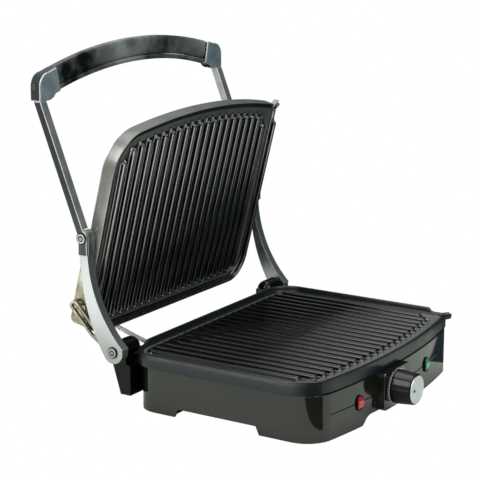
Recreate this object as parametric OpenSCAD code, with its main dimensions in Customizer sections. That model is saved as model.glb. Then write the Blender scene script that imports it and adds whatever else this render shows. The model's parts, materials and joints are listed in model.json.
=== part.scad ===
// Countertop sandwich toaster with a floating hinged lid, drawn open.
// Units are millimetres. X runs to the right, the front faces -Y, Z is up.
// The lid's pieces are drawn closed over the base and then swung open.

/* [Grill plates] */
// Width of each grill plate
plate_w = 294; // [280:1:310]
// Depth of each grill plate at its middle
plate_d = 224; // [212:1:236]
// Height of the lower plate's rim above the counter
plate_rim_z = 62; // [58:1:70]
// Height of the plate's outer skirt
skirt_h = 14; // [12:1:17]
// Radius of the bowed front edge
bow_r = 720; // [600:10:900]
// Radius of the rounded front corner
corner_front_r = 42; // [30:1:50]
// Radius of the rear corners
corner_rear_r = 28; // [22:1:34]
// Radius of the corner that carries the pouring spout
spout_corner_r = 8; // [6:1:12]
// How far the spout juts out past its corner
spout_reach = 4; // [2:0.5:5]
// Width of the lip round the plate
lip_w = 3; // [2.5:0.5:4]
// Depth of the flat border below the lip
border_drop = 2.5; // [2:0.5:4]
// Extra depth of the grooves between the ribs
groove_drop = 2; // [1.5:0.5:3]
// Thickness of the cast plate below the grooves
plate_t = 3.5; // [3:0.5:4.5]
// Height of the splash walls at the rear and right
splash_h = 4; // [2:0.5:4]
// Number of ribs
rib_count = 21; // [15:2:23]
// Distance from rib to rib
rib_pitch = 12.8; // [11.5:0.1:13]
// Width of a rib
rib_w = 6.4; // [5:0.2:7]
// Height of the rib crowns above the rim
rib_rise = 1; // [0.5:0.5:1.5]

/* [Base] */
// Width of the housing
base_w = 284; // [272:1:290]
// Distance of the housing's front from the plate centre
base_front = 113; // [112:1:118]
// Distance of the housing's rear from the plate centre
base_rear = 108; // [104:1:110]
// Radius of the housing's front left corner
base_corner_r = 30; // [20:1:40]
// Radius of the housing's front right corner
base_right_r = 12; // [10:1:20]
// Wall of the housing
wall = 2.5; // [2:0.5:3.5]
// Height of the arches between the feet
arch_h = 10; // [8:0.5:10.5]
// Height of the bottom cover above the counter
cover_z = 11; // [11:0.5:14]
// Width of the dial block
bezel_w = 54; // [50:1:64]
// Height of the dial block
bezel_h = 38; // [37:1:38]
// How far the dial block stands out
bezel_proud = 6.5; // [4:0.5:9]
// Sideways place of the dial
knob_x = -12; // [-30:1:20]
// Height of the dial's axis
knob_z = 29; // [28:0.5:30]
// Diameter of the dial at its foot
knob_d = 34.5; // [30:0.5:36]
// Diameter of the dial's bright face
knob_face_d = 29; // [24:0.5:29]
// Length of the dial
knob_l = 21; // [16:0.5:26]
// Diameter of the dial's shaft
shaft_d = 6; // [5:0.5:7]
// Distance of each lamp from the middle
lamp_x = 72; // [64:1:90]
// Width of a lamp lens
lamp_w = 8.5; // [7:0.5:10]
// Height of a lamp lens
lamp_h = 13; // [11:0.5:15]

/* [Arms and handle] */
// Distance of the hinge axis behind the plate centre
hinge_y = 120; // [118:0.5:124]
// Distance from the hinge axis to the lid pivot
arm_l = 117; // [112:0.5:120]
// Backward lean of the open arms
arm_lean = 16.5; // [14:0.5:20]
// Radius of the arm's hinge end
arm_end_r = 11.5; // [11:0.5:13]
// Width of the arm's channel
arm_w = 9.8; // [9:0.2:12]
// Thickness of the arm's outer web
web_t = 3; // [2.5:0.5:4]
// Thickness of the arm's front flange
flange_t = 1.6; // [1.2:0.1:1.8]
// Radius of the arm's hollow front edge
arm_front_r = 134; // [125:1:150]
// Radius of the arm's bulging rear edge
arm_rear_r = 180; // [165:1:200]
// Width of a handle bar across the toaster
bar_w = 10; // [9:0.5:10.5]
// Thickness of a handle bar
bar_t = 8; // [7:0.5:9]
// Backward lean of the open handle bars
bar_lean = 21.5; // [18:0.5:24]
// Thickness of the tang that lies on the arm
tang_t = 3; // [2.5:0.5:4]
// Height of the handle's top above the hinge axis
handle_rise = 291; // [280:1:300]
// Radius of the bowed grip
grip_r = 560; // [500:10:700]
// Height of the grip
grip_h = 25; // [22:1:28]
// Thickness of the grip from front to back
grip_t = 10; // [9:0.5:11]
// Half length of the grip between its caps
grip_half = 132; // [125:1:138]
// Diameter of the hinge bolts
bolt_d = 5.6; // [5:0.2:6]
// Diameter of the lid's pivot screws
pivot_d = 5; // [4:0.2:5.4]

/* [Lid] */
// Gap between the closed plates' rims
lid_gap = 8.6; // [8.3:0.1:12]
// Distance of the lid pivot from the lid's rear edge
pivot_run = 107; // [102:1:112]
// Distance of the lid pivot behind the lid's rim
pivot_depth = 12.4; // [11:0.2:14]
// Forward lean of the open lid
lid_lean = 14; // [10:0.5:18]
// Depth of the lid's hood
hood_h = 27; // [22:1:32]
// Thickness of the side brackets
bracket_t = 1.6; // [1.2:0.1:1.6]
// Thickness of the lid's chassis sheet
chassis_t = 1.2; // [1:0.1:2]
// Distance of the guide pin from the lid's rear edge
pin_run = 32.4; // [30:0.2:36]
// Distance of the guide pin behind the lid's rim
pin_depth = 9.3; // [8:0.1:10]
// Diameter of the guide pin
pin_d = 3; // [2.6:0.1:3.2]
// Turn of the link for each degree of the arms
link_ratio = 1.222; // [1.21:0.001:1.23]
// Width of the link's slot
slot_w = 5.2; // [5.2:0.1:5.6]
// Width of each bar beside the slot
link_bar = 2.6; // [2:0.1:2.8]

/* [Fits] */
// Radial clearance of a pin or shaft that turns
run_fit = 0.05; // [0.03:0.01:0.1]
// Gap between pieces that move past each other
gap = 0.3; // [0.3:0.05:0.5]

/* [Hidden] */
$fn = 96;
eps = 0.01;
blend = 0.02;

// Turning of a point in a side view
function turned(a, p) = [p.x * cos(a) - p.y * sin(a), p.x * sin(a) + p.y * cos(a)];
// The point where two circles meet, on the left of the way from the first centre to the second
function meeting(c1, r1, c2, r2) =
    let (d = norm(c2 - c1), along = (d * d + r1 * r1 - r2 * r2) / (2 * d),
         off = sqrt(r1 * r1 - along * along), u = (c2 - c1) / d)
    c1 + along * u + off * [-u.y, u.x];

// Plate outline
half_w = plate_w / 2;
half_d = plate_d / 2;
bow_cy = bow_r - half_d;
function corner_cy(r, half) = bow_cy - sqrt(pow(bow_r - r, 2) - pow(half - r, 2));
round_c = [half_w - corner_front_r, corner_cy(corner_front_r, half_w)];
deck_z = border_drop + groove_drop + plate_t;
heater_r = min(3.2, (skirt_h - deck_z - 0.4) / 2);
heater_drop = deck_z + heater_r + 0.1;
rib_inset = 15;
groove_inset = 10;
rib_rear_inset = 12;
groove_rear_inset = 9;

// Base levels
deck_top = plate_rim_z - skirt_h;
foot_z = 1.5;
foot_r = 8;
foot_spots = [[-118, -70], [120, -78], [-116, 84], [116, 84]];
post_spots = [[-60, -86], [60, -86], [-60, 86], [60, 86]];
boss_spots = [[-112, -62], [112, -62], [-112, 62], [112, 62]];
boss_r = 5;
screw_r = 1.9;
shield_half = [98, 72];

// Side stack, outward from the lid
ear_in = half_w + 0.6;
ear_out = ear_in + bracket_t;
arm_in = ear_out + 0.5;
arm_out = arm_in + arm_w;
web_in = arm_out - web_t;
bar_out = arm_out + tang_t;
bar_in = bar_out - bar_w;
head_t = 1.5;
head_r = 4.8;

// Hinge, pivot and their travel, in the side view as [y, z]
hinge = [hinge_y, plate_rim_z];
pivot_open = hinge + arm_l * [sin(arm_lean), cos(arm_lean)];
rim_closed = plate_rim_z + lid_gap;
pivot_z = rim_closed + pivot_depth;
pivot_closed = [half_d - pivot_run, pivot_z];
reach_closed = pivot_closed - hinge;
arm_swing = arm_lean + atan2(-reach_closed.x, reach_closed.y);
lid_turn = 90 - lid_lean;
tilt_ratio = lid_turn / arm_swing - 1;
function lid_open(p) = pivot_open + turned(-lid_turn, p - pivot_closed);
pin_closed = [half_d - pin_run, rim_closed + pin_depth];
pin_open = lid_open(pin_closed);

// Link: its eccentric and the slot's line, worked out from the pin's path
link_pivot = hinge + [1.6, -0.8];
function pin_at(a) = hinge + turned(a, pivot_open - hinge) + turned(a + a * tilt_ratio, pin_open - pivot_open);
function slot_at(a) = turned(-link_ratio * a, pin_at(a) - link_pivot);
slot_a = slot_at(0);
slot_b = slot_at(arm_swing);
slot_dir = (slot_a - slot_b) / norm(slot_a - slot_b);
slot_side = [-slot_dir.y, slot_dir.x];
slot_bulge = ((slot_at(arm_swing * 0.5) - slot_a) * slot_side) / 2;
slot_top = slot_a + slot_bulge * slot_side + 2 * slot_dir;
slot_l = 34;
slot_foot = slot_top - slot_l * slot_dir;
link_t = 3;
link_in = ear_out + 3.3;
link_end_r = slot_w / 2 + link_bar;
link_ring_r = 7.8;
spigot_r = 5.5;

// Arm outline in its own axes: u from the hinge to the pivot, w to the front
top_front = 6;
top_rear = 4.8;
top_rise = 2.1;
top_r = (top_front + top_rear) / 2;
strip_l = 17.5;
strip_dir = [cos(arm_lean), sin(arm_lean)];
strip_side = [-sin(arm_lean), cos(arm_lean)];
strip_foot = [arm_l, 0] - strip_l * strip_dir;
front_foot = strip_foot + (top_front - 1.5) * strip_side;
rear_foot = strip_foot - (top_rear - 0.3) * strip_side;
front_c = meeting([0, 0], arm_front_r + arm_end_r, front_foot, arm_front_r);
rear_c = meeting([0, 0], arm_rear_r - arm_end_r, rear_foot, arm_rear_r);

// Handle
grip_top = plate_rim_z + handle_rise;
grip_cz = grip_top - grip_h / 2 - grip_r;
grip_a = asin(grip_half / grip_r);
grip_end = [0, grip_cz] + gap * [cos(grip_a), -sin(grip_a)];
bar_end_z = grip_top - 48;
cap_r = 14;
cap_cx = bar_out - cap_r;
cap_cz = grip_cz + sqrt(pow(grip_r + grip_h / 2, 2) - cap_cx * cap_cx) - cap_r - 0.4;
bar_end_y = pivot_open.x + (bar_end_z - pivot_open.y) * tan(bar_lean);
cap_front = bar_end_y - bar_t / 2 / cos(bar_lean) - 0.2;
grip_back = cap_front + 12.7;
grip_y = grip_back - grip_t / 2;

// Knob places along Y
bezel_front = -base_front - bezel_proud;
knob_back = bezel_front - gap;
knob_front = knob_back - knob_l;
face_t = 0.8;

// Overall placing: the origin is the middle of the footprint, on the counter
front_most = knob_front - face_t;
rear_most = grip_back;
shift_y = -(front_most + rear_most) / 2;

echo(shift_y_mm = shift_y, hinge_mm = hinge + [shift_y, 0], pivot_mm = pivot_open + [shift_y, 0]);
echo(link_pivot_mm = link_pivot + [shift_y, 0], pin_mm = pin_open + [shift_y, 0]);
echo(arm_swing_deg = arm_swing, tilt_ratio = tilt_ratio, tilt_deg = tilt_ratio * arm_swing);
echo(link_deg = link_ratio * arm_swing, slot_play = slot_w / 2 - pin_d / 2, slot_bulge = slot_bulge);
echo(knob_mm = [knob_x, knob_back + shift_y, knob_z], arm_x = [arm_in, web_in, arm_out, bar_out]);

// Placing helpers
module in_place() { translate([0, shift_y, 0]) children(); }
module opened() {
    translate([0, pivot_open.x, pivot_open.y]) rotate([-lid_turn, 0, 0])
        translate([0, -pivot_closed.x, -pivot_closed.y]) children();
}
module side(x0, x1) { translate([x0, 0, 0]) rotate([90, 0, 90]) linear_extrude(x1 - x0) children(); }
module front_view(y0, y1) { translate([0, y1, 0]) rotate([90, 0, 0]) linear_extrude(y1 - y0) children(); }
module at_hinge() { translate(hinge) rotate(90 - arm_lean) children(); }
module sides() { children(); mirror([1, 0, 0]) children(); }
module left() { mirror([1, 0, 0]) children(); }
module along_x(r, x0, x1, p) { translate([x0, p.x, p.y]) rotate([0, 90, 0]) cylinder(r = r, h = x1 - x0); }
module along_y(r, y0, y1, x, z) { translate([x, y1, z]) rotate([90, 0, 0]) cylinder(r = r, h = y1 - y0); }

// Flat outline with a bowed front edge and a radius at each corner
module bowed(half, front, rear, r_left, r_right, r_rear, inset = 0) {
    cy = bow_r - front;
    h = half - inset;
    rr = r_rear - inset;
    cl = [-half + r_left, cy - sqrt(pow(bow_r - r_left, 2) - pow(half - r_left, 2))];
    cr = [half - r_right, cy - sqrt(pow(bow_r - r_right, 2) - pow(half - r_right, 2))];
    difference() {
        intersection() {
            translate([0, cy]) circle(bow_r - inset, $fn = 360);
            union() {
                translate([-h, -front]) square([2 * h, front + rear - inset - rr]);
                translate([-h + rr, 0]) square([2 * (h - rr), rear - inset]);
                for (s = [-1, 1]) translate([s * (h - rr), rear - inset - rr]) circle(rr);
            }
        }
        front_cut(cl, -1, r_left, cy);
        front_cut(cr, 1, r_right, cy);
    }
    translate(cl) circle(r_left - inset + blend);
    translate(cr) circle(r_right - inset + blend);
}
module front_cut(c, s, r, cy) {
    out = (c - [0, cy]) / norm(c - [0, cy]);
    polygon([c, c + [s * 2 * r, 0], c + [s * 2 * r, -2 * r], c + 2 * r * out]);
}
module plate_outline(inset = 0) {
    bowed(half_w, half_d, half_d, corner_front_r, spout_corner_r, corner_rear_r, inset);
}
module base_outline(inset = 0) {
    bowed(base_w / 2, base_front, base_rear, base_corner_r, base_right_r, 24, inset);
}

// Ends of ribs and grooves follow an inner line with both front corners rounded
function front_y(x, inset) = abs(x) < round_c.x * (bow_r - inset) / (bow_r - corner_front_r)
    ? bow_cy - sqrt(pow(bow_r - inset, 2) - x * x)
    : round_c.y - sqrt(max(0, pow(corner_front_r - inset, 2) - pow(abs(x) - round_c.x, 2)));
function rear_y(x, inset) = abs(x) < half_w - corner_rear_r
    ? half_d - inset
    : half_d - corner_rear_r
        + sqrt(max(0, pow(corner_rear_r - inset, 2) - pow(abs(x) - half_w + corner_rear_r, 2)));

// Ribs: crowned bars along Y, cut to rounded ends by their plan
module ribs() {
    foot = border_drop + eps;
    r = rib_w / 2;
    crown_r = rib_w * 0.55;
    intersection() {
        front_view(-half_d, half_d) for (i = [0 : rib_count - 1]) translate([rib_x(i), 0]) intersection() {
            translate([-r, -foot]) square([rib_w, foot + rib_rise + 1]);
            translate([0, rib_rise - crown_r]) {
                circle(crown_r);
                translate([-r, -20]) square([rib_w, 20]);
            }
        }
        translate([0, 0, -foot]) linear_extrude(foot + rib_rise + 2) for (i = [0 : rib_count - 1])
            lane(rib_x(i), r + 0.4, front_y(rib_x(i), rib_inset), rear_y(rib_x(i), rib_rear_inset));
    }
}
function rib_x(i) = (i - (rib_count - 1) / 2) * rib_pitch;
module lane(x, r, y0, y1) {
    translate([x - r, y0 + r]) square([2 * r, y1 - y0 - 2 * r]);
    for (y = [y0 + r, y1 - r]) translate([x, y]) circle(r, $fn = 32);
}
module grooves() {
    r = (rib_pitch - rib_w) / 2 - 0.2;
    for (i = [0 : rib_count]) {
        x = rib_x(i - 0.5);
        lane(x, r, front_y(x, groove_inset), rear_y(x, groove_rear_inset));
    }
}

// Pouring spout on the squared front corner
spout_w = 7;
spout_tip = [half_w, -half_d + half_w * half_w / 2 / bow_r] + spout_reach * [0.8, -0.6];
module spout() {
    side_dir = [0.6, 0.8];
    polygon([spout_tip + spout_w / 2 * side_dir, spout_tip - spout_w / 2 * side_dir,
        spout_tip + [-20, -0.5], spout_tip + [-20, 12], spout_tip + [-spout_reach * 0.8, 20]]);
}
module spout_channel() {
    translate(spout_tip) rotate(-37) translate([-20, -2.2]) square([24, 4.4]);
}
module splash_zone() {
    y = half_d - corner_rear_r;
    polygon([[-half_w + corner_rear_r, 0], [-half_w + corner_rear_r, half_d + 1], [half_w + 1, half_d + 1],
        [half_w + 1, -half_d + 34], [0, -half_d + 34], [0, 0]]);
}

// One cast plate, rim at z = 0, cooking side up
module grill_plate() {
    difference() {
        union() {
            translate([0, 0, -skirt_h]) linear_extrude(skirt_h) plate_outline();
            linear_extrude(splash_h) intersection() { plate_outline(); splash_zone(); }
            translate([0, 0, -6]) linear_extrude(6) spout();
        }
        translate([0, 0, -border_drop]) linear_extrude(border_drop + splash_h + 1) {
            plate_outline(lip_w);
            spout_channel();
        }
        translate([0, 0, -border_drop - groove_drop]) linear_extrude(groove_drop + 1)
            grooves();
        translate([0, 0, -skirt_h - 1]) linear_extrude(skirt_h + 1 - deck_z) plate_outline(lip_w);
    }
    ribs();
    for (p = boss_spots) translate([p.x, p.y, -skirt_h]) difference() {
        cylinder(r = boss_r, h = skirt_h - deck_z + 1);
        translate([0, 0, -1]) cylinder(r = screw_r + run_fit, h = 6);
    }
}

// Bent tubular element: two legs, two bends and a cross run
module heater() {
    r = heater_r;
    x = 84;
    bend = 26;
    front = -40;
    rear = 62;
    for (s = [-1, 1]) {
        translate([s * x, rear, 0]) rotate([90, 0, 0]) cylinder(r = r, h = rear - front, $fn = 32);
        translate([s * x, rear + 6, 0]) rotate([90, 0, 0]) cylinder(r = 1.5, h = 7, $fn = 24);
        translate([s * (x - bend), front, 0]) rotate([0, 0, s > 0 ? -90 : 180])
            rotate_extrude(angle = 90) translate([bend, 0]) circle(r, $fn = 32);
    }
    translate([-x + bend, front - bend, 0]) rotate([0, 90, 0]) cylinder(r = r, h = 2 * (x - bend), $fn = 32);
}

// Base
module base_housing() in_place() color("#45483f") {
    difference() {
        translate([0, 0, foot_z]) linear_extrude(deck_top - foot_z) base_outline();
        translate([0, 0, cover_z]) linear_extrude(deck_top - wall - cover_z) base_outline(wall);
        translate([0, 0, foot_z - 1]) linear_extrude(cover_z - foot_z + 1 + eps) difference() {
            base_outline(wall);
            for (s = [-1, 1]) {
                translate([s > 0 ? 74 : -150, -120]) square([76, 78]);
                translate([s > 0 ? 74 : -150, 62]) square([76, 60]);
            }
        }
        translate([0, 0, deck_top - wall - 1]) linear_extrude(wall + 2)
            square([2 * (shield_half.x + gap), 2 * (shield_half.y + gap)], center = true);
        arches();
        front_groove();
        for (p = boss_spots) translate([p.x, p.y, deck_top - wall - 1]) cylinder(r = screw_r + 0.3, h = wall + 2);
        for (p = foot_spots) translate([p.x, p.y, 0]) cylinder(r = foot_r + run_fit, h = foot_z + 2.5);
        along_y(shaft_d / 2 + 0.6, -base_front - 2, -base_front + wall + 2, knob_x, knob_z);
        for (s = [-1, 1]) at_lamp(s) translate([0, 0, -wall - 1]) linear_extrude(wall + 2) lamp_shape(0.6);
        for (p = [lead_spot, mains_spot]) along_y(gland_r, base_rear - wall - 1, base_rear + 1, p.x, p.y);
    }
    for (p = post_spots) translate([p.x, p.y, cover_z + 2]) difference() {
        cylinder(r = 4.5, h = deck_top - wall - cover_z - 2 + eps);
        translate([0, 0, -1]) cylinder(r = screw_r + run_fit, h = 13);
    }
}
module arches() {
    side_lo = [-40, 60];
    front_lo = 68;
    slope = 5;
    side(-base_w, base_w) polygon([[side_lo[0], -1], [side_lo[0] + slope, arch_h],
        [side_lo[1] - slope, arch_h], [side_lo[1], -1]]);
    front_view(-200, 200) polygon([[-front_lo, -1], [-front_lo + 2 * slope, arch_h - 2],
        [-front_lo + 3 * slope, arch_h], [front_lo - 3 * slope, arch_h], [front_lo - 2 * slope, arch_h - 2],
        [front_lo, -1]]);
}
groove_w = 0.8;
module front_groove() {
    translate([0, 0, knob_z - 2]) linear_extrude(groove_w) difference() {
        translate([-base_w / 2 + 24, -base_front - 2]) square([base_w, 60]);
        base_outline(groove_w);
    }
}

// Lamps stand square on the bowed front
lamp_z = knob_z - 2;
lamp_a = asin(lamp_x / bow_r);
module at_lamp(s) {
    translate([0, bow_r - base_front, lamp_z]) rotate([0, 0, s * lamp_a]) translate([0, -bow_r, 0])
        rotate([90, 0, 0]) children();
}
module lamp_shape(grow = 0) {
    r = lamp_w / 2 + grow;
    for (s = [-1, 1]) translate([0, s * (lamp_h - lamp_w) / 2]) circle(r, $fn = 48);
    square([2 * r, lamp_h - lamp_w], center = true);
}
module lens(s) {
    at_lamp(s) intersection() {
        translate([0, 0, -wall - 1]) linear_extrude(wall + 5) lamp_shape(-0.1);
        translate([-lamp_w, 0, 2.8 - lamp_h * 0.8]) rotate([0, 90, 0]) cylinder(r = lamp_h * 0.8, h = 2 * lamp_w);
    }
}
module power_lamp() in_place() color("#c8323c") lens(-1);
module ready_lamp() in_place() color("#0f8a72") lens(1);
module lamp_bezels() in_place() color("#141414") for (s = [-1, 1]) at_lamp(s) difference() {
    union() {
        translate([0, 0, gap]) linear_extrude(1.2) lamp_shape(1.5);
        translate([0, 0, -wall - 1]) linear_extrude(wall + 2) lamp_shape(0.5);
    }
    translate([0, 0, -wall - 2]) linear_extrude(wall + 6) lamp_shape(0);
}
module base_bottom_cover() in_place() color("#2a2a2a") difference() {
    translate([0, 0, cover_z]) linear_extrude(2) base_outline(wall + gap);
    for (p = post_spots) translate([p.x, p.y, cover_z - 1]) cylinder(r = screw_r + 0.3, h = 4);
    for (i = [-4 : 4]) translate([i * 12 - 2, -20, cover_z - 1]) cube([4, 40, 4]);
}
module base_screws() in_place() color("#9a9a9a") for (p = post_spots) translate([p.x, p.y, cover_z]) {
    translate([0, 0, -1.4]) cylinder(r = 3.4, h = 1.4);
    translate([0, 0, -eps]) cylinder(r = screw_r, h = 12);
}
module rubber_feet() in_place() color("#1a1a1a") for (p = foot_spots) translate([p.x, p.y, 0])
    cylinder(r = foot_r, h = foot_z + 2.4);

// Dial
module control_bezel() in_place() color("#16171a") difference() {
    translate([knob_x, -base_front + 4, knob_z]) rotate([90, 0, 0]) linear_extrude(bezel_proud + 4) {
        square([bezel_w - 8, bezel_h], center = true);
        square([bezel_w, bezel_h - 8], center = true);
        for (i = [-1, 1], j = [-1, 1]) translate([i * (bezel_w / 2 - 4), j * (bezel_h / 2 - 4)]) circle(4);
    }
    translate([0, 0, -1]) linear_extrude(100) base_outline(-gap / 3);
    translate([0, 0, deck_top - gap]) linear_extrude(50) plate_outline(-gap);
    along_y(shaft_d / 2 + 0.6, bezel_front - 1, 0, knob_x, knob_z);
    along_y(knob_d / 2 + 1.2, bezel_front - 1, bezel_front + 0.6, knob_x, knob_z);
}
module dial_ring() in_place() color("#c9ccce") difference() {
    along_y(knob_d / 2 + 1.1, bezel_front - gap * 0.6, bezel_front + 0.5, knob_x, knob_z);
    along_y(knob_d / 2 + 0.2, bezel_front - 1, bezel_front + 1, knob_x, knob_z);
}
module about_knob() { translate([knob_x, knob_back, knob_z]) rotate([90, 0, 0]) children(); }
module knob_shell() in_place() color("#0c0c0d") about_knob() difference() {
    rotate_extrude() polygon([[0, 0], [knob_d / 2 - 0.2, 0], [knob_d / 2, 0.6], [knob_d / 2 - 0.3, 3],
        [knob_face_d / 2 + 0.9, knob_l - 1], [knob_face_d / 2 + 0.4, knob_l], [0, knob_l]]);
    translate([0, 0, -1]) cylinder(r = shaft_d / 2 + run_fit, h = 15);
    translate([0, 0, -1]) difference() {
        cylinder(r = knob_d / 2 - 3, h = 11);
        cylinder(r = shaft_d / 2 + 2.5, h = 11);
    }
}
module knob_face() in_place() color("#c4c6c8") about_knob() translate([0, 0, knob_l]) difference() {
    cylinder(r = knob_face_d / 2, h = face_t);
    translate([-knob_face_d / 4, 0, face_t - 0.5]) cylinder(r = 1.3, h = 1, $fn = 24);
}
thermo_y = -base_front + wall + 2;
module thermostat_shaft() in_place() color("#b5b5b5")
    along_y(shaft_d / 2, knob_back - 14 + gap, thermo_y + 14, knob_x, knob_z);
module thermostat_body() in_place() color("#d8d2c0") difference() {
    translate([knob_x - 15, thermo_y, knob_z - 13]) cube([30, 18, deck_top - wall - knob_z + 13 - gap]);
    along_y(shaft_d / 2 + run_fit, thermo_y - 1, thermo_y + 14 + gap, knob_x, knob_z);
}

// Base plate and what lies under it
module lower_grill_plate() in_place() color("#2b2c2e") translate([0, 0, plate_rim_z]) grill_plate();
module lower_heater() in_place() color("#8b8f8c") translate([0, 0, plate_rim_z - heater_drop]) heater();
module lower_heat_shield() in_place() color("#b9bbbb") {
    x = shield_half.x;
    y = shield_half.y;
    difference() {
        translate([-x, -y, deck_top - 8]) cube([2 * x, 2 * y, 8.8]);
        translate([-x + 0.8, -y + 0.8, deck_top - 7.2]) cube([2 * x - 1.6, 2 * y - 1.6, 10]);
    }
    translate([0, 0, deck_top]) linear_extrude(0.8) difference() {
        square([2 * x + 12, 2 * y + 10], center = true);
        square([2 * x - 1.6, 2 * y - 1.6], center = true);
    }
}
module plate_screws() in_place() color("#9a9a9a")
    for (p = boss_spots) translate([p.x, p.y, deck_top - wall]) {
        translate([0, 0, -2.2]) cylinder(r = 3.6, h = 2.2);
        translate([0, 0, -eps]) cylinder(r = screw_r, h = wall + 4.5);
    }
module thermal_fuse() in_place() color("#c9c9c9") {
    translate([24, 20, deck_top - 8 - 3.2]) rotate([0, 90, 0]) cylinder(r = 3.2, h = 16, $fn = 48);
    translate([16, 20, deck_top - 8 - 3.2]) rotate([0, 90, 0]) cylinder(r = 0.8, h = 32, $fn = 24);
}
module terminal_block() in_place() color("#e6e2d6") translate([20, 66, cover_z + 2]) difference() {
    cube([42, 14, 14]);
    for (i = [0 : 3]) translate([6 + i * 10, 7, 6]) cylinder(r = 2.4, h = 9, $fn = 32);
}
gland_r = 5;
lead_spot = [-75, 36];
mains_spot = [86, 24];
lead_bore = 2.6;
module gland(p, snout, bore) {
    difference() {
        union() {
            along_y(gland_r - 0.1, base_rear - wall - 1.5, base_rear + 1, p.x, p.y);
            along_y(gland_r + 2, base_rear, base_rear + 2.5, p.x, p.y);
            along_y(gland_r - 0.6, base_rear + 1, base_rear + snout, p.x, p.y);
        }
        if (bore > 0) along_y(bore, base_rear - 20, base_rear + 20, p.x, p.y);
    }
}
module mains_gland() in_place() color("#1a1a1a") gland(mains_spot, 9, 3.4);
module lower_lead_gland() in_place() color("#1a1a1a") gland(lead_spot, 7, 0);

// Sleeve of the lid heater's wires, swept along points chosen by hand: the first ones are measured from its
// gland in the base, the later ones from its gland in the lid
lead_r = 2.4;
lead_start = [base_rear + 7, lead_spot.y];
lead_last = lid_open([half_d - 3, rim_closed + 21]) + gap * [sin(lid_lean), -cos(lid_lean)];
lead_low = [[6, 1], [15, 6], [24, 12], [34, 15.2]];
lead_high = [[-28.80679, -21.46059], [-19.80679, -18.56059], [-10.80679, -16.06059],
    [-2.80679, -12.56059], [1.59321, -6.66059]];
lead_pts = concat([lead_start], [for (p = lead_low) lead_start + p], [for (p = lead_high) lead_last + p],
    [lead_last]);
lead_sides = 8;
lead_n = len(lead_pts);
function lead_heading(i) = i == 0 ? [1, 0]
    : i == lead_n - 1 ? [-sin(lid_lean), cos(lid_lean)]
    : (lead_pts[i + 1] - lead_pts[i - 1]) / norm(lead_pts[i + 1] - lead_pts[i - 1]);
module heater_lead() in_place() color("#d5d5d0") {
    n = lead_n;
    pts = [for (i = [0 : n - 1], k = [0 : lead_sides - 1])
        let (h = lead_heading(i), up = [-h.y, h.x], a = 360 * k / lead_sides)
        [lead_spot.x + lead_r * cos(a), lead_pts[i].x + lead_r * sin(a) * up.x,
         lead_pts[i].y + lead_r * sin(a) * up.y]];
    skins = [for (i = [0 : n - 2], k = [0 : lead_sides - 1])
        let (a = i * lead_sides + k, b = i * lead_sides + (k + 1) % lead_sides)
        [a, b, b + lead_sides, a + lead_sides]];
    polyhedron(pts, concat([[for (k = [lead_sides - 1 : -1 : 0]) k]], skins,
        [[for (k = [0 : lead_sides - 1]) (n - 1) * lead_sides + k]]));
}

// Hinge brackets: a block on the rear wall, a domed boss and a spigot that the arm turns beside
boss_outer = 9.75;
bolt_start = ear_in - 13;
module hinge_bracket(link_side) {
    x0 = 124;
    x1 = ear_in - gap;
    y0 = half_d + 1;
    difference() {
        union() {
            side(x0, x1) polygon([[base_rear + gap / 3, 16], [base_rear + gap / 3, deck_top - 2],
                [y0, deck_top], [y0, hinge.y - 4], [hinge.x - boss_outer, hinge.y],
                [hinge.x + boss_outer, hinge.y], [hinge.x + boss_outer, hinge.y - 14], [base_rear + 12, 16]]);
            along_x(boss_outer, x0 + 6, x1, hinge);
            translate([x0 + 6, hinge.x, hinge.y]) intersection() {
                sphere(boss_outer);
                translate([-boss_outer, -boss_outer, -boss_outer])
                    cube([boss_outer + eps, 2 * boss_outer, 2 * boss_outer]);
            }
            along_x(spigot_r, x1 - 1, web_in - gap, link_side ? link_pivot : hinge);
        }
        along_x(bolt_d / 2, bolt_start, web_in + 1, hinge);
    }
}
module hinge_bracket_left() in_place() color("#18191b") left() hinge_bracket(true);
module hinge_bracket_right() in_place() color("#18191b") hinge_bracket(false);
module ring_head(x, p, r) {
    difference() {
        along_x(r, x, x + head_t, p);
        along_x(r * 0.42, x + head_t - 1, x + head_t + 1, p, $fn = 6);
    }
}
module hinge_bolts() in_place() color("#b9b6a6") sides() {
    along_x(bolt_d / 2, bolt_start, arm_out + gap + eps, hinge);
    ring_head(arm_out + gap, hinge, head_r);
}

// Arms
module arm_profile(inset = 0) {
    circle(arm_end_r - inset);
    difference() {
        intersection() {
            translate(rear_c) circle(arm_rear_r + 20 * inset, $fn = 256);
            polygon([[0, -30], [0, 30], front_foot + 20 * strip_side, rear_foot - 20 * strip_side]);
        }
        translate(front_c) circle(arm_front_r + inset, $fn = 256);
    }
    translate([arm_l, 0]) rotate(arm_lean) {
        translate([-strip_l - eps, inset > 0 ? -30 : -top_rear])
            square([strip_l + top_rise + eps, top_front - inset + (inset > 0 ? 30 : top_rear)]);
        translate([top_rise, top_front - top_r]) circle(top_r - inset);
    }
    if (inset > 0) {
        translate([-arm_end_r - 1, -30]) square([arm_end_r + 10, 30]);
        translate([arm_l, 0]) rotate(arm_lean) translate([0, -30]) square([top_rise + top_r - inset, 30]);
    }
}
module arm() {
    difference() {
        union() {
            difference() {
                side(arm_in, arm_out) at_hinge() arm_profile();
                side(arm_in - 1, web_in) at_hinge() arm_profile(flange_t);
            }
            along_x(pivot_d / 2 + 1.7, ear_out + gap, web_in + eps, pivot_open);
        }
        along_x(bolt_d / 2 + run_fit, arm_in - 1, arm_out + 1, hinge);
        along_x(pivot_d / 2 + run_fit, ear_out, arm_out + 1, pivot_open);
    }
}
module arm_left() in_place() color("#b9bcba") left() arm();
module arm_right() in_place() color("#b9bcba") arm();

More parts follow.
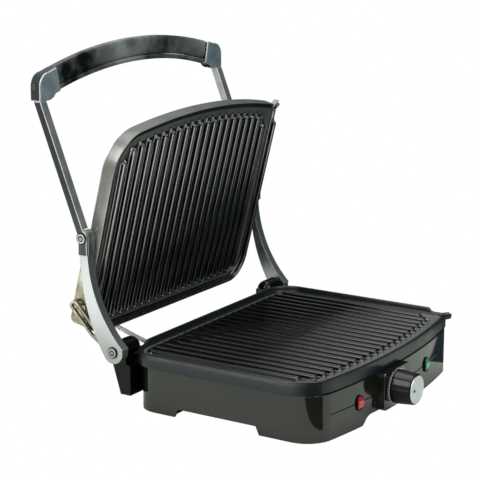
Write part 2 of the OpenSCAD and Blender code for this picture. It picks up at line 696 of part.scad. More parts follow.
// Handle bars: a tang on the arm and a straight bar up to the cap
module bar_axes() { translate(pivot_open) rotate(90 - bar_lean) children(); }
module handle_bar() {
    difference() {
        union() {
            side(arm_out, bar_out) {
                translate(pivot_open) rotate(90) translate([-strip_l, -top_rear + 0.3])
                    square([strip_l + top_rise, top_rear + top_front - 0.6]);
                translate(pivot_open) rotate(90) translate([top_rise, top_front - top_r]) circle(top_r - 0.3);
                bar_axes() translate([0, -bar_t / 2]) square([20, bar_t]);
            }
            intersection() {
                side(bar_in, bar_out) bar_axes() translate([8, -bar_t / 2]) square([arm_l + 60, bar_t]);
                cube([600, 800, 2 * bar_end_z], center = true);
            }
        }
        along_x(pivot_d / 2 + run_fit, arm_out - 1, bar_out + 1, pivot_open);
    }
}
module handle_bar_left() in_place() color("#4c5054") left() handle_bar();
module handle_bar_right() in_place() color("#4c5054") handle_bar();

module grip_band(lo, hi) {
    intersection() {
        difference() {
            translate([0, grip_cz]) circle(grip_r + hi, $fn = 360);
            translate([0, grip_cz]) circle(grip_r + lo, $fn = 360);
        }
        polygon([grip_end, grip_end + 700 * [sin(grip_a), cos(grip_a)], [cap_cx + eps, grip_cz + 700],
            [cap_cx + eps, grip_cz]]);
    }
}
module handle_cap() {
    inner = bar_in;
    web_r = 9;
    difference() {
        front_view(cap_front, grip_back) {
            grip_band(-grip_h / 2, grip_h / 2 - 0.4);
            translate([cap_cx, cap_cz]) circle(cap_r);
            translate([inner, bar_end_z]) square([bar_w, cap_cz - bar_end_z]);
            translate([cap_cx - eps, cap_cz - cap_r]) square([cap_r + eps, cap_r]);
            difference() {
                translate([inner - web_r, bar_end_z]) square([web_r + eps, web_r + 4]);
                translate([inner - web_r, bar_end_z]) circle(web_r);
            }
        }
        along_x(1.6, bar_out - 6, bar_out + 1, [grip_y, cap_cz]);
    }
}
module handle_cap_left() in_place() color("#aeb2b4") left() handle_cap();
module handle_cap_right() in_place() color("#aeb2b4") handle_cap();
module cap_screws() in_place() color("#6f7275") sides() {
    along_x(1.55, bar_out - 6, bar_out + eps, [grip_y, cap_cz]);
    along_x(2.6, bar_out, bar_out + 0.8, [grip_y, cap_cz]);
}
module grip_ring(lo, hi, round) {
    translate([0, grip_y, grip_cz]) rotate([90, 0, 0]) rotate([0, 0, 90 - grip_a])
        rotate_extrude(angle = 2 * grip_a, $fn = 360) translate([grip_r + lo, -grip_t / 2]) {
            translate([round, 0]) square([hi - lo - 2 * round, grip_t]);
            translate([0, round]) square([hi - lo, grip_t - 2 * round]);
            for (i = [round, hi - lo - round], j = [round, grip_t - round]) translate([i, j]) circle(round, $fn = 32);
        }
}
strip_h = 5;
module handle_grip() in_place() color("#141516") grip_ring(-grip_h / 2 + strip_h + gap, grip_h / 2, 3.5);
module handle_grip_strip() in_place() color("#1d1e20") grip_ring(-grip_h / 2, -grip_h / 2 + strip_h, 1.5);

// Lid, drawn closed: rim at rim_closed, its back above it
module upper_grill_plate() in_place() color("#2b2c2e") opened() translate([0, 0, rim_closed])
    mirror([0, 0, 1]) grill_plate();
module upper_heater() in_place() color("#8b8f8c") opened() translate([0, 0, rim_closed + heater_drop]) heater();
back_z = rim_closed + skirt_h;
foot_in = 120;
foot_run = [58, 98];
foot_run_right = [86, 112];
module foot_shape(run, grow) {
    translate([foot_in - grow, half_d - run[1] - grow])
        square([ear_out - foot_in + 2 * grow, run[1] - run[0] + 2 * grow]);
}
module lid_chassis() in_place() color("#8f9496") opened() difference() {
    translate([0, 0, back_z]) linear_extrude(chassis_t) plate_outline(1);
    for (p = boss_spots) translate([p.x, p.y, back_z - 1]) cylinder(r = screw_r + 0.3, h = chassis_t + 2);
}
module lid_screws() in_place() color("#9a9a9a") opened() for (p = boss_spots)
    translate([p.x, p.y, back_z + chassis_t]) {
        cylinder(r = 3.6, h = 2.2);
        translate([0, 0, -4.5 - chassis_t]) cylinder(r = screw_r, h = 4.5 + chassis_t + eps);
    }
module hood_form(inset) {
    z = back_z + chassis_t;
    hull() {
        translate([0, 0, z - (inset > 0 ? 1 : 0)]) linear_extrude(3, $fn = 48) plate_outline(9 + inset);
        translate([-86 + inset, -56 + inset, z]) cube([172 - 2 * inset, 150 - 2 * inset, hood_h - inset]);
        translate([-66 + inset, -40 + inset, z]) cube([132 - 2 * inset, 122 - 2 * inset, hood_h - inset]);
    }
}
module lid_hood() in_place() color("#3a3d40") opened() difference() {
    hood_form(0);
    hood_form(2);
    translate([0, 0, back_z]) linear_extrude(chassis_t + bracket_t + gap) {
        foot_shape(foot_run_right, gap);
        mirror([1, 0]) foot_shape(foot_run, gap);
    }
    translate([lead_spot.x, half_d, rim_closed + 21]) rotate([90, 0, 0]) cylinder(r = 4.6, h = 30, $fn = 32);
}
module upper_lead_gland() in_place() color("#1a1a1a") opened()
    translate([lead_spot.x, half_d - 3, rim_closed + 21]) rotate([90, 0, 0]) {
        cylinder(r = 4.3, h = 16, $fn = 48);
        cylinder(r = 5.6, h = 3, $fn = 48);
    }

// Side brackets of the lid; the left one carries the long wing
module bracket(run, wing) {
    z = back_z + chassis_t;
    y1 = half_d - run[0];
    y0 = half_d - run[1];
    difference() {
        union() {
            side(ear_in, ear_out) {
                translate(pivot_closed) circle(6.5);
                translate([pivot_closed.x - 4, pivot_closed.y]) square([y1 - pivot_closed.x + 4, z - pivot_closed.y + bracket_t]);
                if (wing) wing_shape();
            }
            translate([foot_in, y0, z]) cube([ear_out - foot_in, y1 - y0, bracket_t]);
        }
        along_x(pivot_d / 2, ear_in - 1, ear_out + 1, pivot_closed);
        if (wing) along_x(pin_d / 2, ear_in - 1, ear_out + 1, pin_closed);
        for (y = bracket_screw_y(run)) translate([foot_in + 5, y, z - 1]) cylinder(r = 2.2, h = 4);
    }
}
function bracket_screw_y(run) = [half_d - run[0] - 7, half_d - run[1] + 7];
module wing_shape() {
    z0 = rim_closed + 1.5;
    z1 = back_z + chassis_t + bracket_t;
    y1 = half_d - 12.5;
    y0 = pivot_closed.x + 6;
    r = 5;
    translate([y0, z0 + 4]) square([y1 - y0 - r, z1 - z0 - 4]);
    translate([y1 - r - 1, z0 + r]) square([r + 1, z1 - z0 - 2 * r]);
    translate([y1 - r, z1 - r]) circle(r);
    translate([y1 - r, z0 + r]) circle(r);
    translate([y1 - 34, z0]) square([34 - r, 6]);
}
module lid_bracket_left() in_place() color("#a9a690") opened() left() bracket(foot_run, true);
module lid_bracket_right() in_place() color("#a9a690") opened() bracket(foot_run_right, false);
module bracket_screws() in_place() color("#9a9a9a") opened() {
    z = back_z + chassis_t + bracket_t;
    for (y = bracket_screw_y(foot_run_right)) translate([foot_in + 5, y, z]) one_bracket_screw();
    for (y = bracket_screw_y(foot_run)) translate([-foot_in - 5, y, z]) one_bracket_screw();
}
module one_bracket_screw() {
    cylinder(r = 3.6, h = 2);
    translate([0, 0, -bracket_t]) cylinder(r = 2, h = bracket_t + eps);
}
module lid_pivot_screws() in_place() color("#b9b6a6") sides() {
    along_x(pivot_d / 2, ear_in, bar_out + gap + eps, pivot_open);
    ring_head(bar_out + gap, pivot_open, head_r);
}
module tilt_pin() in_place() color("#8e8a78") left() {
    along_x(pin_d / 2, ear_in, link_in + link_t + 0.2, pin_open);
    along_x(pin_d / 2 + 1, ear_out, ear_out + 1.4, pin_open);
}

// Slotted link on the left, turning on its eccentric spigot
module slot_lane(r) {
    for (p = [slot_top, slot_foot]) translate(p) circle(r, $fn = 48);
    translate(slot_foot) rotate(atan2(slot_dir.y, slot_dir.x)) translate([0, -r]) square([slot_l, 2 * r]);
}
module link_shape() {
    neck = link_ring_r - 2.4;
    foot_a = slot_foot + link_end_r * slot_side;
    foot_b = slot_foot - link_end_r * slot_side;
    across = [-slot_foot.y, slot_foot.x] / norm(slot_foot);
    translate(link_pivot) difference() {
        union() {
            circle(link_ring_r);
            slot_lane(link_end_r);
            polygon([neck * across, -neck * across, foot_b, foot_a]);
        }
        slot_lane(slot_w / 2);
        circle(spigot_r + run_fit);
    }
}
module tilt_link() in_place() color("#c3c2b4") left() side(link_in, link_in + link_t) link_shape();

base_housing();
base_bottom_cover();
base_screws();
rubber_feet();
control_bezel();
dial_ring();
knob_shell();
knob_face();
thermostat_shaft();
thermostat_body();
lamp_bezels();
power_lamp();
ready_lamp();
lower_grill_plate();
lower_heater();
lower_heat_shield();
plate_screws();
thermal_fuse();
terminal_block();
mains_gland();
lower_lead_gland();
heater_lead();
hinge_bracket_left();
hinge_bracket_right();
hinge_bolts();
arm_left();
arm_right();
handle_bar_left();
handle_bar_right();
handle_cap_left();
handle_cap_right();
handle_grip();
handle_grip_strip();
cap_screws();
upper_grill_plate();
upper_heater();
lid_chassis();
lid_screws();
lid_hood();
upper_lead_gland();
lid_bracket_left();
lid_bracket_right();
bracket_screws();
lid_pivot_screws();
tilt_pin();
tilt_link();
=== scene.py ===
"""Looks of the countertop sandwich toaster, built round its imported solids.

Lengths in the classes are millimetres, in the row's frame: X to the right, the front faces -Y, Z up.
They turn to metres when a mesh is made.
"""

from __future__ import annotations

import json
import logging
import math
from dataclasses import dataclass, field
from enum import Enum

import bpy
import numpy as np
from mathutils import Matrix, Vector

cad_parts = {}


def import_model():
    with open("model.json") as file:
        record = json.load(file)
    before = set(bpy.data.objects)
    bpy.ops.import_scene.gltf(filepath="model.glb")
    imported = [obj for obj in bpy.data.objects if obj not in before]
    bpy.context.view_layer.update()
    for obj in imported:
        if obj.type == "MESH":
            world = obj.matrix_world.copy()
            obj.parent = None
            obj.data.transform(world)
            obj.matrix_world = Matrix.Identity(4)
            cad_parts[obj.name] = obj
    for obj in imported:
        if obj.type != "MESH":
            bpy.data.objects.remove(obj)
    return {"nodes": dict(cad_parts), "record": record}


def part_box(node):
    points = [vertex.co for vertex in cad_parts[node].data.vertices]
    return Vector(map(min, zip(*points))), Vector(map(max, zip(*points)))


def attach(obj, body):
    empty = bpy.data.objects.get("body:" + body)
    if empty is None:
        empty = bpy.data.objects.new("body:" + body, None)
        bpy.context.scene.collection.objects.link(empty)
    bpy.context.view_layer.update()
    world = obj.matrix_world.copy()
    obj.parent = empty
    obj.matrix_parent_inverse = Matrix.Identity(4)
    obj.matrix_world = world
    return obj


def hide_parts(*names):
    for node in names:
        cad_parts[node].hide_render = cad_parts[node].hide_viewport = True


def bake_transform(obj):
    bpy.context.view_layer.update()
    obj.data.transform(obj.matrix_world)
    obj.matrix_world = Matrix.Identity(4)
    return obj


LOG = logging.getLogger("toaster")
MM = 0.001


# Colours, nodes and meshes


def to_linear(hex_colour: str) -> tuple[float, float, float, float]:
    """Turns an sRGB hex colour into linear light.

    Args:
        hex_colour: Six hex digits after a hash.

    Returns:
        Linear red, green, blue and an alpha of one.
    """
    srgb = np.array([int(hex_colour[i : i + 2], 16) for i in (1, 3, 5)]) / 255.0
    linear = np.where(srgb <= 0.04045, srgb / 12.92, ((srgb + 0.055) / 1.055) ** 2.4)
    return (*linear.tolist(), 1.0)


def add_node(tree: bpy.types.NodeTree, kind: str, settings: dict | None = None, **inputs) -> bpy.types.Node:
    """Adds a shader node with its settings and inputs.

    Args:
        tree: Node tree that takes the node.
        kind: Blender's type name without its ShaderNode prefix.
        settings: Plain properties of the node.
        **inputs: Values or output sockets for the inputs, keyed by name with _ for a space, or i0, i1 for a place.

    Returns:
        The new node.
    """
    node = tree.nodes.new("ShaderNode" + kind)
    for key, value in (settings or {}).items():
        setattr(node, key, value)
    for key, value in inputs.items():
        place = int(key[1:]) if key[0] == "i" and key[1:].isdigit() else key.replace("_", " ")
        socket = node.inputs[place]
        if isinstance(value, bpy.types.NodeSocket):
            tree.links.new(value, socket)
        else:
            socket.default_value = value
    return node


def quads(rows: int, cols: int, loop_rows: bool = False, loop_cols: bool = False) -> np.ndarray:
    """Numbers the faces of a grid of points that is stored row by row.

    Args:
        rows: Number of rows.
        cols: Number of columns.
        loop_rows: Whether the last row joins the first.
        loop_cols: Whether the last column joins the first.

    Returns:
        One row of four point numbers for each face.
    """
    i = np.arange(rows if loop_rows else rows - 1)[:, None]
    j = np.arange(cols if loop_cols else cols - 1)[None, :]
    i2, j2 = (i + 1) % rows, (j + 1) % cols
    corners = [i * cols + j, i * cols + j2, i2 * cols + j2, i2 * cols + j]
    return np.stack([np.broadcast_to(c, (i.size, j.size)).ravel() for c in corners], axis=1)


def make_piece(name: str, points: np.ndarray, faces: list, smooth_deg: float = 40.0) -> bpy.types.Object:
    """Makes a mesh object from points in millimetres, with its faces turned outward.

    Args:
        name: Name of the piece.
        points: Array of points, one row each.
        faces: Arrays or lists of point numbers.
        smooth_deg: Edges that turn less than this are shaded smooth.

    Returns:
        The object, linked to the scene.
    """
    mesh = bpy.data.meshes.new(name)
    rows: list = []
    for block in faces:
        rows.extend(block.tolist() if isinstance(block, np.ndarray) else [block])
    mesh.from_pydata((points.reshape(-1, 3) * MM).tolist(), [], rows)
    mesh.validate()
    obj = bpy.data.objects.new(name, mesh)
    bpy.context.scene.collection.objects.link(obj)
    tidy_mesh(obj, 1e-7, outward=True)
    shade(obj, smooth_deg)
    return obj


def tidy_mesh(obj: bpy.types.Object, merge: float, outward: bool = False, flatten: bool = False) -> None:
    """Merges doubled points of a mesh.

    Args:
        obj: Mesh object to tidy.
        merge: Greatest distance between doubled points, in metres.
        outward: Whether the normals are worked out anew.
        flatten: Whether coplanar triangles are joined.
    """
    import bmesh

    bm = bmesh.new()
    bm.from_mesh(obj.data)
    bmesh.ops.remove_doubles(bm, verts=bm.verts, dist=merge)
    if flatten:
        bmesh.ops.dissolve_limit(bm, angle_limit=math.radians(0.6), verts=bm.verts, edges=bm.edges)
    if outward:
        bmesh.ops.recalc_face_normals(bm, faces=bm.faces)
    bm.to_mesh(obj.data)
    bm.free()


def shade(obj: bpy.types.Object, smooth_deg: float) -> None:
    """Shades a mesh smooth, and keeps edges sharp that turn more than an angle."""
    obj.data.polygons.foreach_set("use_smooth", np.ones(len(obj.data.polygons), bool))
    obj.data.set_sharp_from_angle(angle=math.radians(smooth_deg))


def tube(name: str, path: np.ndarray, radius: float | np.ndarray, sides: int = 24) -> bpy.types.Object:
    """Carries a circle along a path, with closed ends.

    The frame at each point is the heading h, a side s across the toaster where h isn't along X, and h x s.
    A point is path + r (cos a s + sin a (h x s)).

    Args:
        name: Name of the piece.
        path: Points along the middle.
        radius: One radius, or one for each point.
        sides: Points round the circle.

    Returns:
        The piece.
    """
    heading = np.gradient(path, axis=0)
    heading /= np.linalg.norm(heading, axis=1, keepdims=True)
    side = np.broadcast_to([1.0, 0.0, 0.0], path.shape).copy()
    side -= heading * np.sum(side * heading, axis=1, keepdims=True)
    side /= np.linalg.norm(side, axis=1, keepdims=True)
    other = np.cross(heading, side)
    a = np.linspace(0, 2 * np.pi, sides, endpoint=False)
    r = np.broadcast_to(np.asarray(radius, float), (len(path),))[:, None, None]
    ring = np.cos(a)[None, :, None] * side[:, None] + np.sin(a)[None, :, None] * other[:, None]
    points = path[:, None] + r * ring
    n = len(path)
    ends = [list(range(sides)), list(range((n - 1) * sides, n * sides))]
    return make_piece(name, points, [quads(n, sides, loop_cols=True), *ends])


def turned_piece(
    name: str, profile: np.ndarray, centre: tuple[float, float, float], axis: str, sides: int = 96
) -> bpy.types.Object:
    """Turns a profile of (radius, height) round an axis; its ends lie on the axis and close to a point.

    Args:
        name: Name of the piece.
        profile: Rows of radius and height.
        centre: Where height zero lies.
        axis: "-y", "+x" or "-x", the way that height grows.
        sides: Points round the axis.

    Returns:
        The piece.
    """
    a = np.linspace(0, 2 * np.pi, sides, endpoint=False)[None, :]
    r, h = profile[:, :1], profile[:, 1:]
    across, up, along = r * np.cos(a), r * np.sin(a), h + 0 * a
    order = {"-y": (across, -along, up), "+x": (along, across, up), "-x": (-along, across, up)}[axis]
    points = np.stack(order, axis=-1) + np.array(centre)
    return make_piece(name, points, [quads(len(profile), sides, loop_cols=True)])


def rounded_corner(centre: np.ndarray, radius: float, start: float, end: float, count: int) -> np.ndarray:
    """Points of an arc as rows of x, y and the outward normal's x, y, from start to end degrees."""
    a = np.radians(np.linspace(start, end, count))
    out = np.stack([np.cos(a), np.sin(a)], axis=1)
    return np.hstack([centre + radius * out, out])


def softened_copy(node: str, width: float, segments: int = 3, angle: float = 28.0) -> bpy.types.Object:
    """Copies a CAD node, joins its loose triangles and rounds its edges with a live bevel.

    Args:
        node: Name of the CAD node, which the copy replaces.
        width: Width of the rounding, in millimetres.
        segments: Facets of the rounding.
        angle: Edges that turn more than this are rounded.

    Returns:
        The copy, riding on the node's body.
    """
    source = Frame.nodes[node]
    piece = bpy.data.objects.new("soft_" + node, source.data.copy())
    bpy.context.scene.collection.objects.link(piece)
    piece.data.materials.clear()
    tidy_mesh(piece, 2e-6, flatten=True)
    shade(piece, angle)
    bevel = piece.modifiers.new("rounding", "BEVEL")
    bevel.width = width * MM
    bevel.segments = segments
    bevel.limit_method = "ANGLE"
    bevel.angle_limit = math.radians(angle)
    bevel.harden_normals = True
    Frame.stand_in(piece, node)
    return piece


class Frame:
    """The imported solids, loaded once."""

    nodes: dict[str, bpy.types.Object] = {}
    body_of: dict[str, str] = {}
    slot_of: dict[str, str] = {}

    @classmethod
    def load(cls) -> None:
        """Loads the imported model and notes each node's body and material slot."""
        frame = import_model()
        record = frame["record"]
        cls.nodes = frame["nodes"]
        cls.slot_of = {s["node"]: s["material_slot"] for s in record["subparts"]}
        for body, members in record["behaviour"]["bodies"].items():
            cls.body_of.update(dict.fromkeys(members, body))

    @classmethod
    def dress(cls, finish: "Finish", *names: str) -> None:
        """Gives CAD nodes a finish."""
        for name in names:
            cls.nodes[name].data.materials.clear()
            cls.nodes[name].data.materials.append(finish.material())

    @classmethod
    def stand_in(cls, piece: bpy.types.Object, *names: str) -> None:
        """Makes a piece stand for CAD nodes: puts it on their body and hides the nodes."""
        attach(piece, cls.body_of[names[0]])
        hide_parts(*names)

    @classmethod
    def add(cls, piece: bpy.types.Object, like: str, finish: "Finish") -> bpy.types.Object:
        """Adds a piece beside a CAD node, on the node's body, with a finish."""
        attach(piece, cls.body_of[like])
        return wear(piece, finish)


def wear(piece: bpy.types.Object, finish: "Finish") -> bpy.types.Object:
    """Gives a piece its finish and reports it."""
    piece.data.materials.clear()
    piece.data.materials.append(finish.material())
    LOG.info("%s: %s", piece.name, finish.name)
    return piece


# Finishes


class Grain(Enum):
    """Way that a surface's fine marks run."""

    EVEN = (1.0, 1.0, 1.0)
    ALONG_X = (0.03, 1.0, 1.0)
    ALONG_Y = (1.0, 0.03, 1.0)
    ALONG_Z = (1.0, 1.0, 0.03)


@dataclass(frozen=True)
class Finish:
    """A real surface: what it is made of and how it was made."""

    name: str
    colour: str
    shade: str
    roughness: float
    metallic: float = 0.0
    ior: float = 1.5
    coat: float = 0.0
    coat_roughness: float = 0.04
    grain: Grain = Grain.EVEN
    grain_mm: float = 0.8
    grain_depth: float = 0.04
    mottle_mm: float = 18.0
    rough_spread: float = 0.06
    edge_mm: float = 0.0

    def material(self) -> bpy.types.Material:
        """Makes the material once, and gives the same one again later."""
        found = bpy.data.materials.get(self.name)
        if found:
            return found
        mat = bpy.data.materials.new(self.name)
        mat.use_nodes = True
        tree = mat.node_tree
        tree.nodes.clear()
        out = add_node(tree, "OutputMaterial")
        surface = self.surface(tree)
        tree.links.new(surface.outputs[0], out.inputs["Surface"])
        return mat

    def surface(self, tree: bpy.types.NodeTree) -> bpy.types.Node:
        """Builds the shader: soft mottling of colour and roughness, fine grain as bump, rounded-looking edges.

        Args:
            tree: Node tree of the material.

        Returns:
            The Principled shader node.
        """
        place = add_node(tree, "TexCoord").outputs["Object"]
        mottle = add_node(
            tree, "TexNoise", {"noise_dimensions": "3D"}, Vector=place, Scale=1000 / self.mottle_mm, Detail=3.0
        ).outputs["Fac"]
        colour = add_node(
            tree,
            "Mix",
            {"data_type": "RGBA"},
            i0=self.spread(tree, mottle, 0.0, 1.0),
            i6=to_linear(self.colour),
            i7=to_linear(self.shade),
        ).outputs[2]
        stretched = add_node(tree, "Mapping", Vector=place, Scale=self.grain.value).outputs[0]
        grain = add_node(tree, "TexNoise", Vector=stretched, Scale=1000 / self.grain_mm, Detail=2.0).outputs["Fac"]
        rough = self.spread(tree, mottle, self.roughness - self.rough_spread, self.roughness + self.rough_spread)
        bump = add_node(
            tree, "Bump", Height=grain, Strength=1.0, Distance=self.grain_depth * MM, **self.edge(tree)
        ).outputs[0]
        return add_node(
            tree,
            "BsdfPrincipled",
            Base_Color=colour,
            Roughness=rough,
            Metallic=self.metallic,
            IOR=self.ior,
            Coat_Weight=self.coat,
            Coat_Roughness=self.coat_roughness,
            Normal=bump,
        )

    def edge(self, tree: bpy.types.NodeTree) -> dict:
        """Gives the bump a normal that rolls over sharp edges, where the finish asks for it."""
        if self.edge_mm <= 0:
            return {}
        return {"Normal": add_node(tree, "Bevel", {"samples": 6}, Radius=self.edge_mm * MM).outputs[0]}

    @staticmethod
    def spread(tree: bpy.types.NodeTree, value: bpy.types.NodeSocket, low: float, high: float) -> bpy.types.NodeSocket:
        """Stretches a noise of about 0.35 to 0.65 to a range from low to high."""
        return add_node(
            tree, "MapRange", Value=value, From_Min=0.35, From_Max=0.65, To_Min=max(low, 0.0), To_Max=high
        ).outputs[0]


@dataclass(frozen=True)
class Speckled(Finish):
    """A sprayed coating with fine bright flecks in it."""

    fleck: str = "#4a4e52"
    fleck_mm: float = 1.1

    def surface(self, tree: bpy.types.NodeTree) -> bpy.types.Node:
        """Adds sparse flecks, as small as still show, over the plain coating."""
        shader = super().surface(tree)
        place = add_node(tree, "TexCoord").outputs["Object"]
        cells = add_node(tree, "TexVoronoi", Vector=place, Scale=1000 / self.fleck_mm).outputs["Distance"]
        mask = add_node(tree, "MapRange", Value=cells, From_Min=0.16, From_Max=0.1, To_Min=0.0, To_Max=0.5).outputs[0]
        base = shader.inputs["Base Color"].links[0].from_socket
        mixed = add_node(tree, "Mix", {"data_type": "RGBA"}, i0=mask, i6=base, i7=to_linear(self.fleck))
        tree.links.new(mixed.outputs[2], shader.inputs["Base Color"])
        return shader


@dataclass(frozen=True)
class Braided(Finish):
    """Glass-fibre sleeve: two sets of threads cross at the sleeve's own UV map."""

    turns: float = 9.0
    thread_mm: float = 1.3

    def surface(self, tree: bpy.types.NodeTree) -> bpy.types.Node:
        """Crosses two diagonal waves, thread by thread, as colour and bump."""
        shader = super().surface(tree)
        place = add_node(tree, "TexCoord").outputs["Object"]
        waves = [
            add_node(
                tree,
                "TexWave",
                {"wave_type": "BANDS", "bands_direction": "DIAGONAL"},
                Vector=add_node(tree, "Mapping", Vector=place, Scale=(1.0, s, 1.0)).outputs[0],
                Scale=1000 / self.thread_mm / 6.0,
            ).outputs["Fac"]
            for s in (1.0, -1.0)
        ]
        both = add_node(tree, "Math", {"operation": "MAXIMUM"}, i0=waves[0], i1=waves[1]).outputs[0]
        base = shader.inputs["Base Color"].links[0].from_socket
        dark = add_node(
            tree, "Mix", {"data_type": "RGBA"}, i0=self.spread(tree, both, 1.0, 0.0), i6=base, i7=to_linear(self.shade)
        )
        tree.links.new(dark.outputs[2], shader.inputs["Base Color"])
        bump = add_node(tree, "Bump", Height=both, Distance=0.25 * MM)
        tree.links.new(bump.outputs[0], shader.inputs["Normal"])
        return shader


@dataclass(frozen=True)
class LitLens(Finish):
    """Clear moulded lens over a neon lamp, with a faint glow from inside."""

    glow: float = 0.25

    def surface(self, tree: bpy.types.NodeTree) -> bpy.types.Node:
        """Adds a faint glow of the lens's own colour."""
        shader = super().surface(tree)
        shader.inputs["Emission Color"].default_value = to_linear(self.colour)
        shader.inputs["Emission Strength"].default_value = self.glow
        return shader


# Glossy black ABS, moulded in a polished tool: deep mirror-like skin, a trace of orange peel
PIANO_ABS = Finish(
    "polished_black_abs", "#0d0f0b", "#12140f", 0.08, coat=0.25, coat_roughness=0.03, grain_mm=5.0, grain_depth=0.02,
    mottle_mm=60.0, rough_spread=0.02, edge_mm=0.9,
)
# The same plastic, a little finer, on the dial's barrel and dot, the lamp surrounds and the hinge blocks, as a shaded
# copy: blacker and with a lower index than the housing's, so that it stays black
DIAL_ABS = Finish(
    "black_abs_shaded_copy", "#030304", "#070708", 0.1, ior=1.3, grain_mm=3.0, grain_depth=0.01, mottle_mm=30.0,
    rough_spread=0.03, edge_mm=0.5,
)
# Black nylon with a spark-eroded matt skin: hinge blocks, glands, bottom cover
SPARKED_NYLON = Finish(
    "spark_eroded_black_nylon", "#17181a", "#1e1f21", 0.42, grain_mm=0.7, grain_depth=0.03, mottle_mm=12.0,
    edge_mm=0.6,
)
# Moulded silicone rubber
FOOT_RUBBER = Finish("moulded_black_rubber", "#191919", "#222222", 0.75, grain_mm=0.6, grain_depth=0.04)
# Sprayed non-stick coating on blasted cast aluminium: satin black with a soft sheen and fine flecks.
# This is the lid's lit copy: its index is raised to 1.85 so that the ribs' highlights come out brighter
NON_STICK = Speckled(
    "non_stick_coated_casting", "#050506", "#090a0b", 0.16, ior=1.85, grain_mm=0.9, grain_depth=0.02, mottle_mm=22.0,
    rough_spread=0.04, fleck="#1c1e20",
)
# The same coating on the lower plate as a shaded copy: blacker, glossier and with a lower index than the lid's copy
SHADED_COATING_COPY = Speckled(
    "shaded_copy_non_stick_coating", "#030304", "#050506", 0.1, ior=1.42, grain_mm=0.9, grain_depth=0.008, mottle_mm=22.0,
    rough_spread=0.02, fleck="#0c0d0e",
)
# Flat border of the castings round the ribs, a dark olive-grey satin, lighter than the coating beside it: painted sheen
BORDER_SHEEN = Finish(
    "border_painted_sheen", "#5a5c56", "#4b4d48", 0.34, metallic=0.3, grain_mm=0.9, grain_depth=0.02, mottle_mm=26.0,
    rough_spread=0.07,
)
# Outer skirt of the castings, turned and thinly lacquered, in two copies: a light gunmetal lit copy on the lid,
# painted lighter for the light that falls on it, and a darker, bluer shaded copy on the base
LIT_SKIRT_COPY = Finish(
    "lit_copy_casting_skirt", "#666762", "#50514d", 0.3, metallic=0.45, grain_mm=0.9, grain_depth=0.02, mottle_mm=26.0,
    rough_spread=0.08,
)
SHADED_SKIRT_COPY = Finish(
    "shaded_copy_casting_skirt", "#181d20", "#111518", 0.28, metallic=0.3, grain_mm=0.9, grain_depth=0.02, mottle_mm=26.0,
    rough_spread=0.06,
)
# Pressed steel arm with silver lacquer: pale, satin, fine flake
ARM_LACQUER = Finish(
    "silver_lacquered_steel", "#8d908e", "#9a9d9b", 0.32, metallic=0.9, grain_mm=0.5, grain_depth=0.003,
    mottle_mm=40.0, rough_spread=0.03, edge_mm=0.7,
)
# Drawn steel bar, brushed along its length; this is the right bar's lit copy, lighter than the left bar's
BAR_STEEL = Finish(
    "brushed_steel", "#a6a9a7", "#8a8e8e", 0.3, metallic=0.8, grain=Grain.ALONG_Z, grain_mm=0.6,
    grain_depth=0.02, rough_spread=0.07,
)
# Shaded copy of the same steel for the left bar's side and the caps' sides, painted dark as painted shade; both bars
# get a greyer copy on their fronts, painted for how the fronts look in this light, and painted highlights on their
# edges
SHADED_BAR = Finish(
    "shaded_copy_bar_steel", "#3b3c3f", "#2e2f32", 0.3, metallic=0.9, grain=Grain.ALONG_Z, grain_mm=0.6, grain_depth=0.02
)
BAR_FRONT = Finish(
    "bar_front_painted_light", "#6c7070", "#585c5c", 0.35, metallic=0.35, grain=Grain.ALONG_Z, grain_mm=0.6, grain_depth=0.01
)
# Die-cast zinc at the handle's corners: the fronts take this lit copy, a light teal-grey that stands for their
# reflection; the sides take the shaded bar copy, and the edges a painted highlight
CAP_FRONT_LIT_COPY = Finish(
    "cap_front_lit_copy", "#92a1a5", "#728288", 0.3, metallic=0.5, grain_mm=2.5, grain_depth=0.01,
    mottle_mm=14.0, rough_spread=0.05,
)
# Pale, half-metallic copy on the rounded edges of arms, bars and caps: a painted highlight
EDGE_HIGHLIGHT = Finish("painted_edge_highlight", "#a4abad", "#8b9395", 0.3, metallic=0.4, grain_mm=0.8, grain_depth=0.01)
# Soft-feel black handle moulding, satin; its colour mottles from black to pale grey in broad clouds, a painted
# highlight
GRIP_MOULDING = Finish(
    "satin_black_phenolic", "#070808", "#747975", 0.33, grain_mm=1.6, grain_depth=0.06, mottle_mm=52.0,
    rough_spread=0.18,
)
# Zinc-plated and passivated steel: warm grey with a faint olive cast
PASSIVATED_STEEL = Finish(
    "passivated_steel", "#827f6e", "#6b6858", 0.3, metallic=0.9, grain_mm=1.2, grain_depth=0.02, mottle_mm=9.0,
    rough_spread=0.08, edge_mm=0.4,
)
# Turned and nickel-plated screw heads
NICKELLED_SCREW = Finish(
    "nickelled_screw", "#a19e92", "#8d8a7f", 0.2, metallic=1.0, grain_mm=0.8, grain_depth=0.01, edge_mm=0.4
)
# Black washers, and a black disc laid in the wells of screw heads as painted shade
DARK_WASHER_AND_SHADE = Finish("black_washer_and_socket_shade", "#040404", "#070707", 0.5, ior=1.3, grain_mm=0.5, grain_depth=0.01)
# Anodised and spun aluminium trim
SPUN_ALUMINIUM = Finish(
    "spun_anodised_aluminium", "#dadcdc", "#cccecf", 0.36, metallic=1.0, grain_mm=0.6, grain_depth=0.015, edge_mm=0.3
)
# Silver trim, made pale and only partly metallic so that it shows bright from every side: painted reflection on silver
BRIGHT_TRIM = Finish("silver_trim_painted_reflection", "#c9cbcb", "#b4b7b7", 0.4, metallic=0.35, grain_mm=0.6, grain_depth=0.01)
# Plain galvanised sheet
GALVANISED = Finish(
    "galvanised_sheet", "#a4a7a7", "#8e9292", 0.38, metallic=1.0, grain_mm=4.0, grain_depth=0.01, mottle_mm=7.0
)
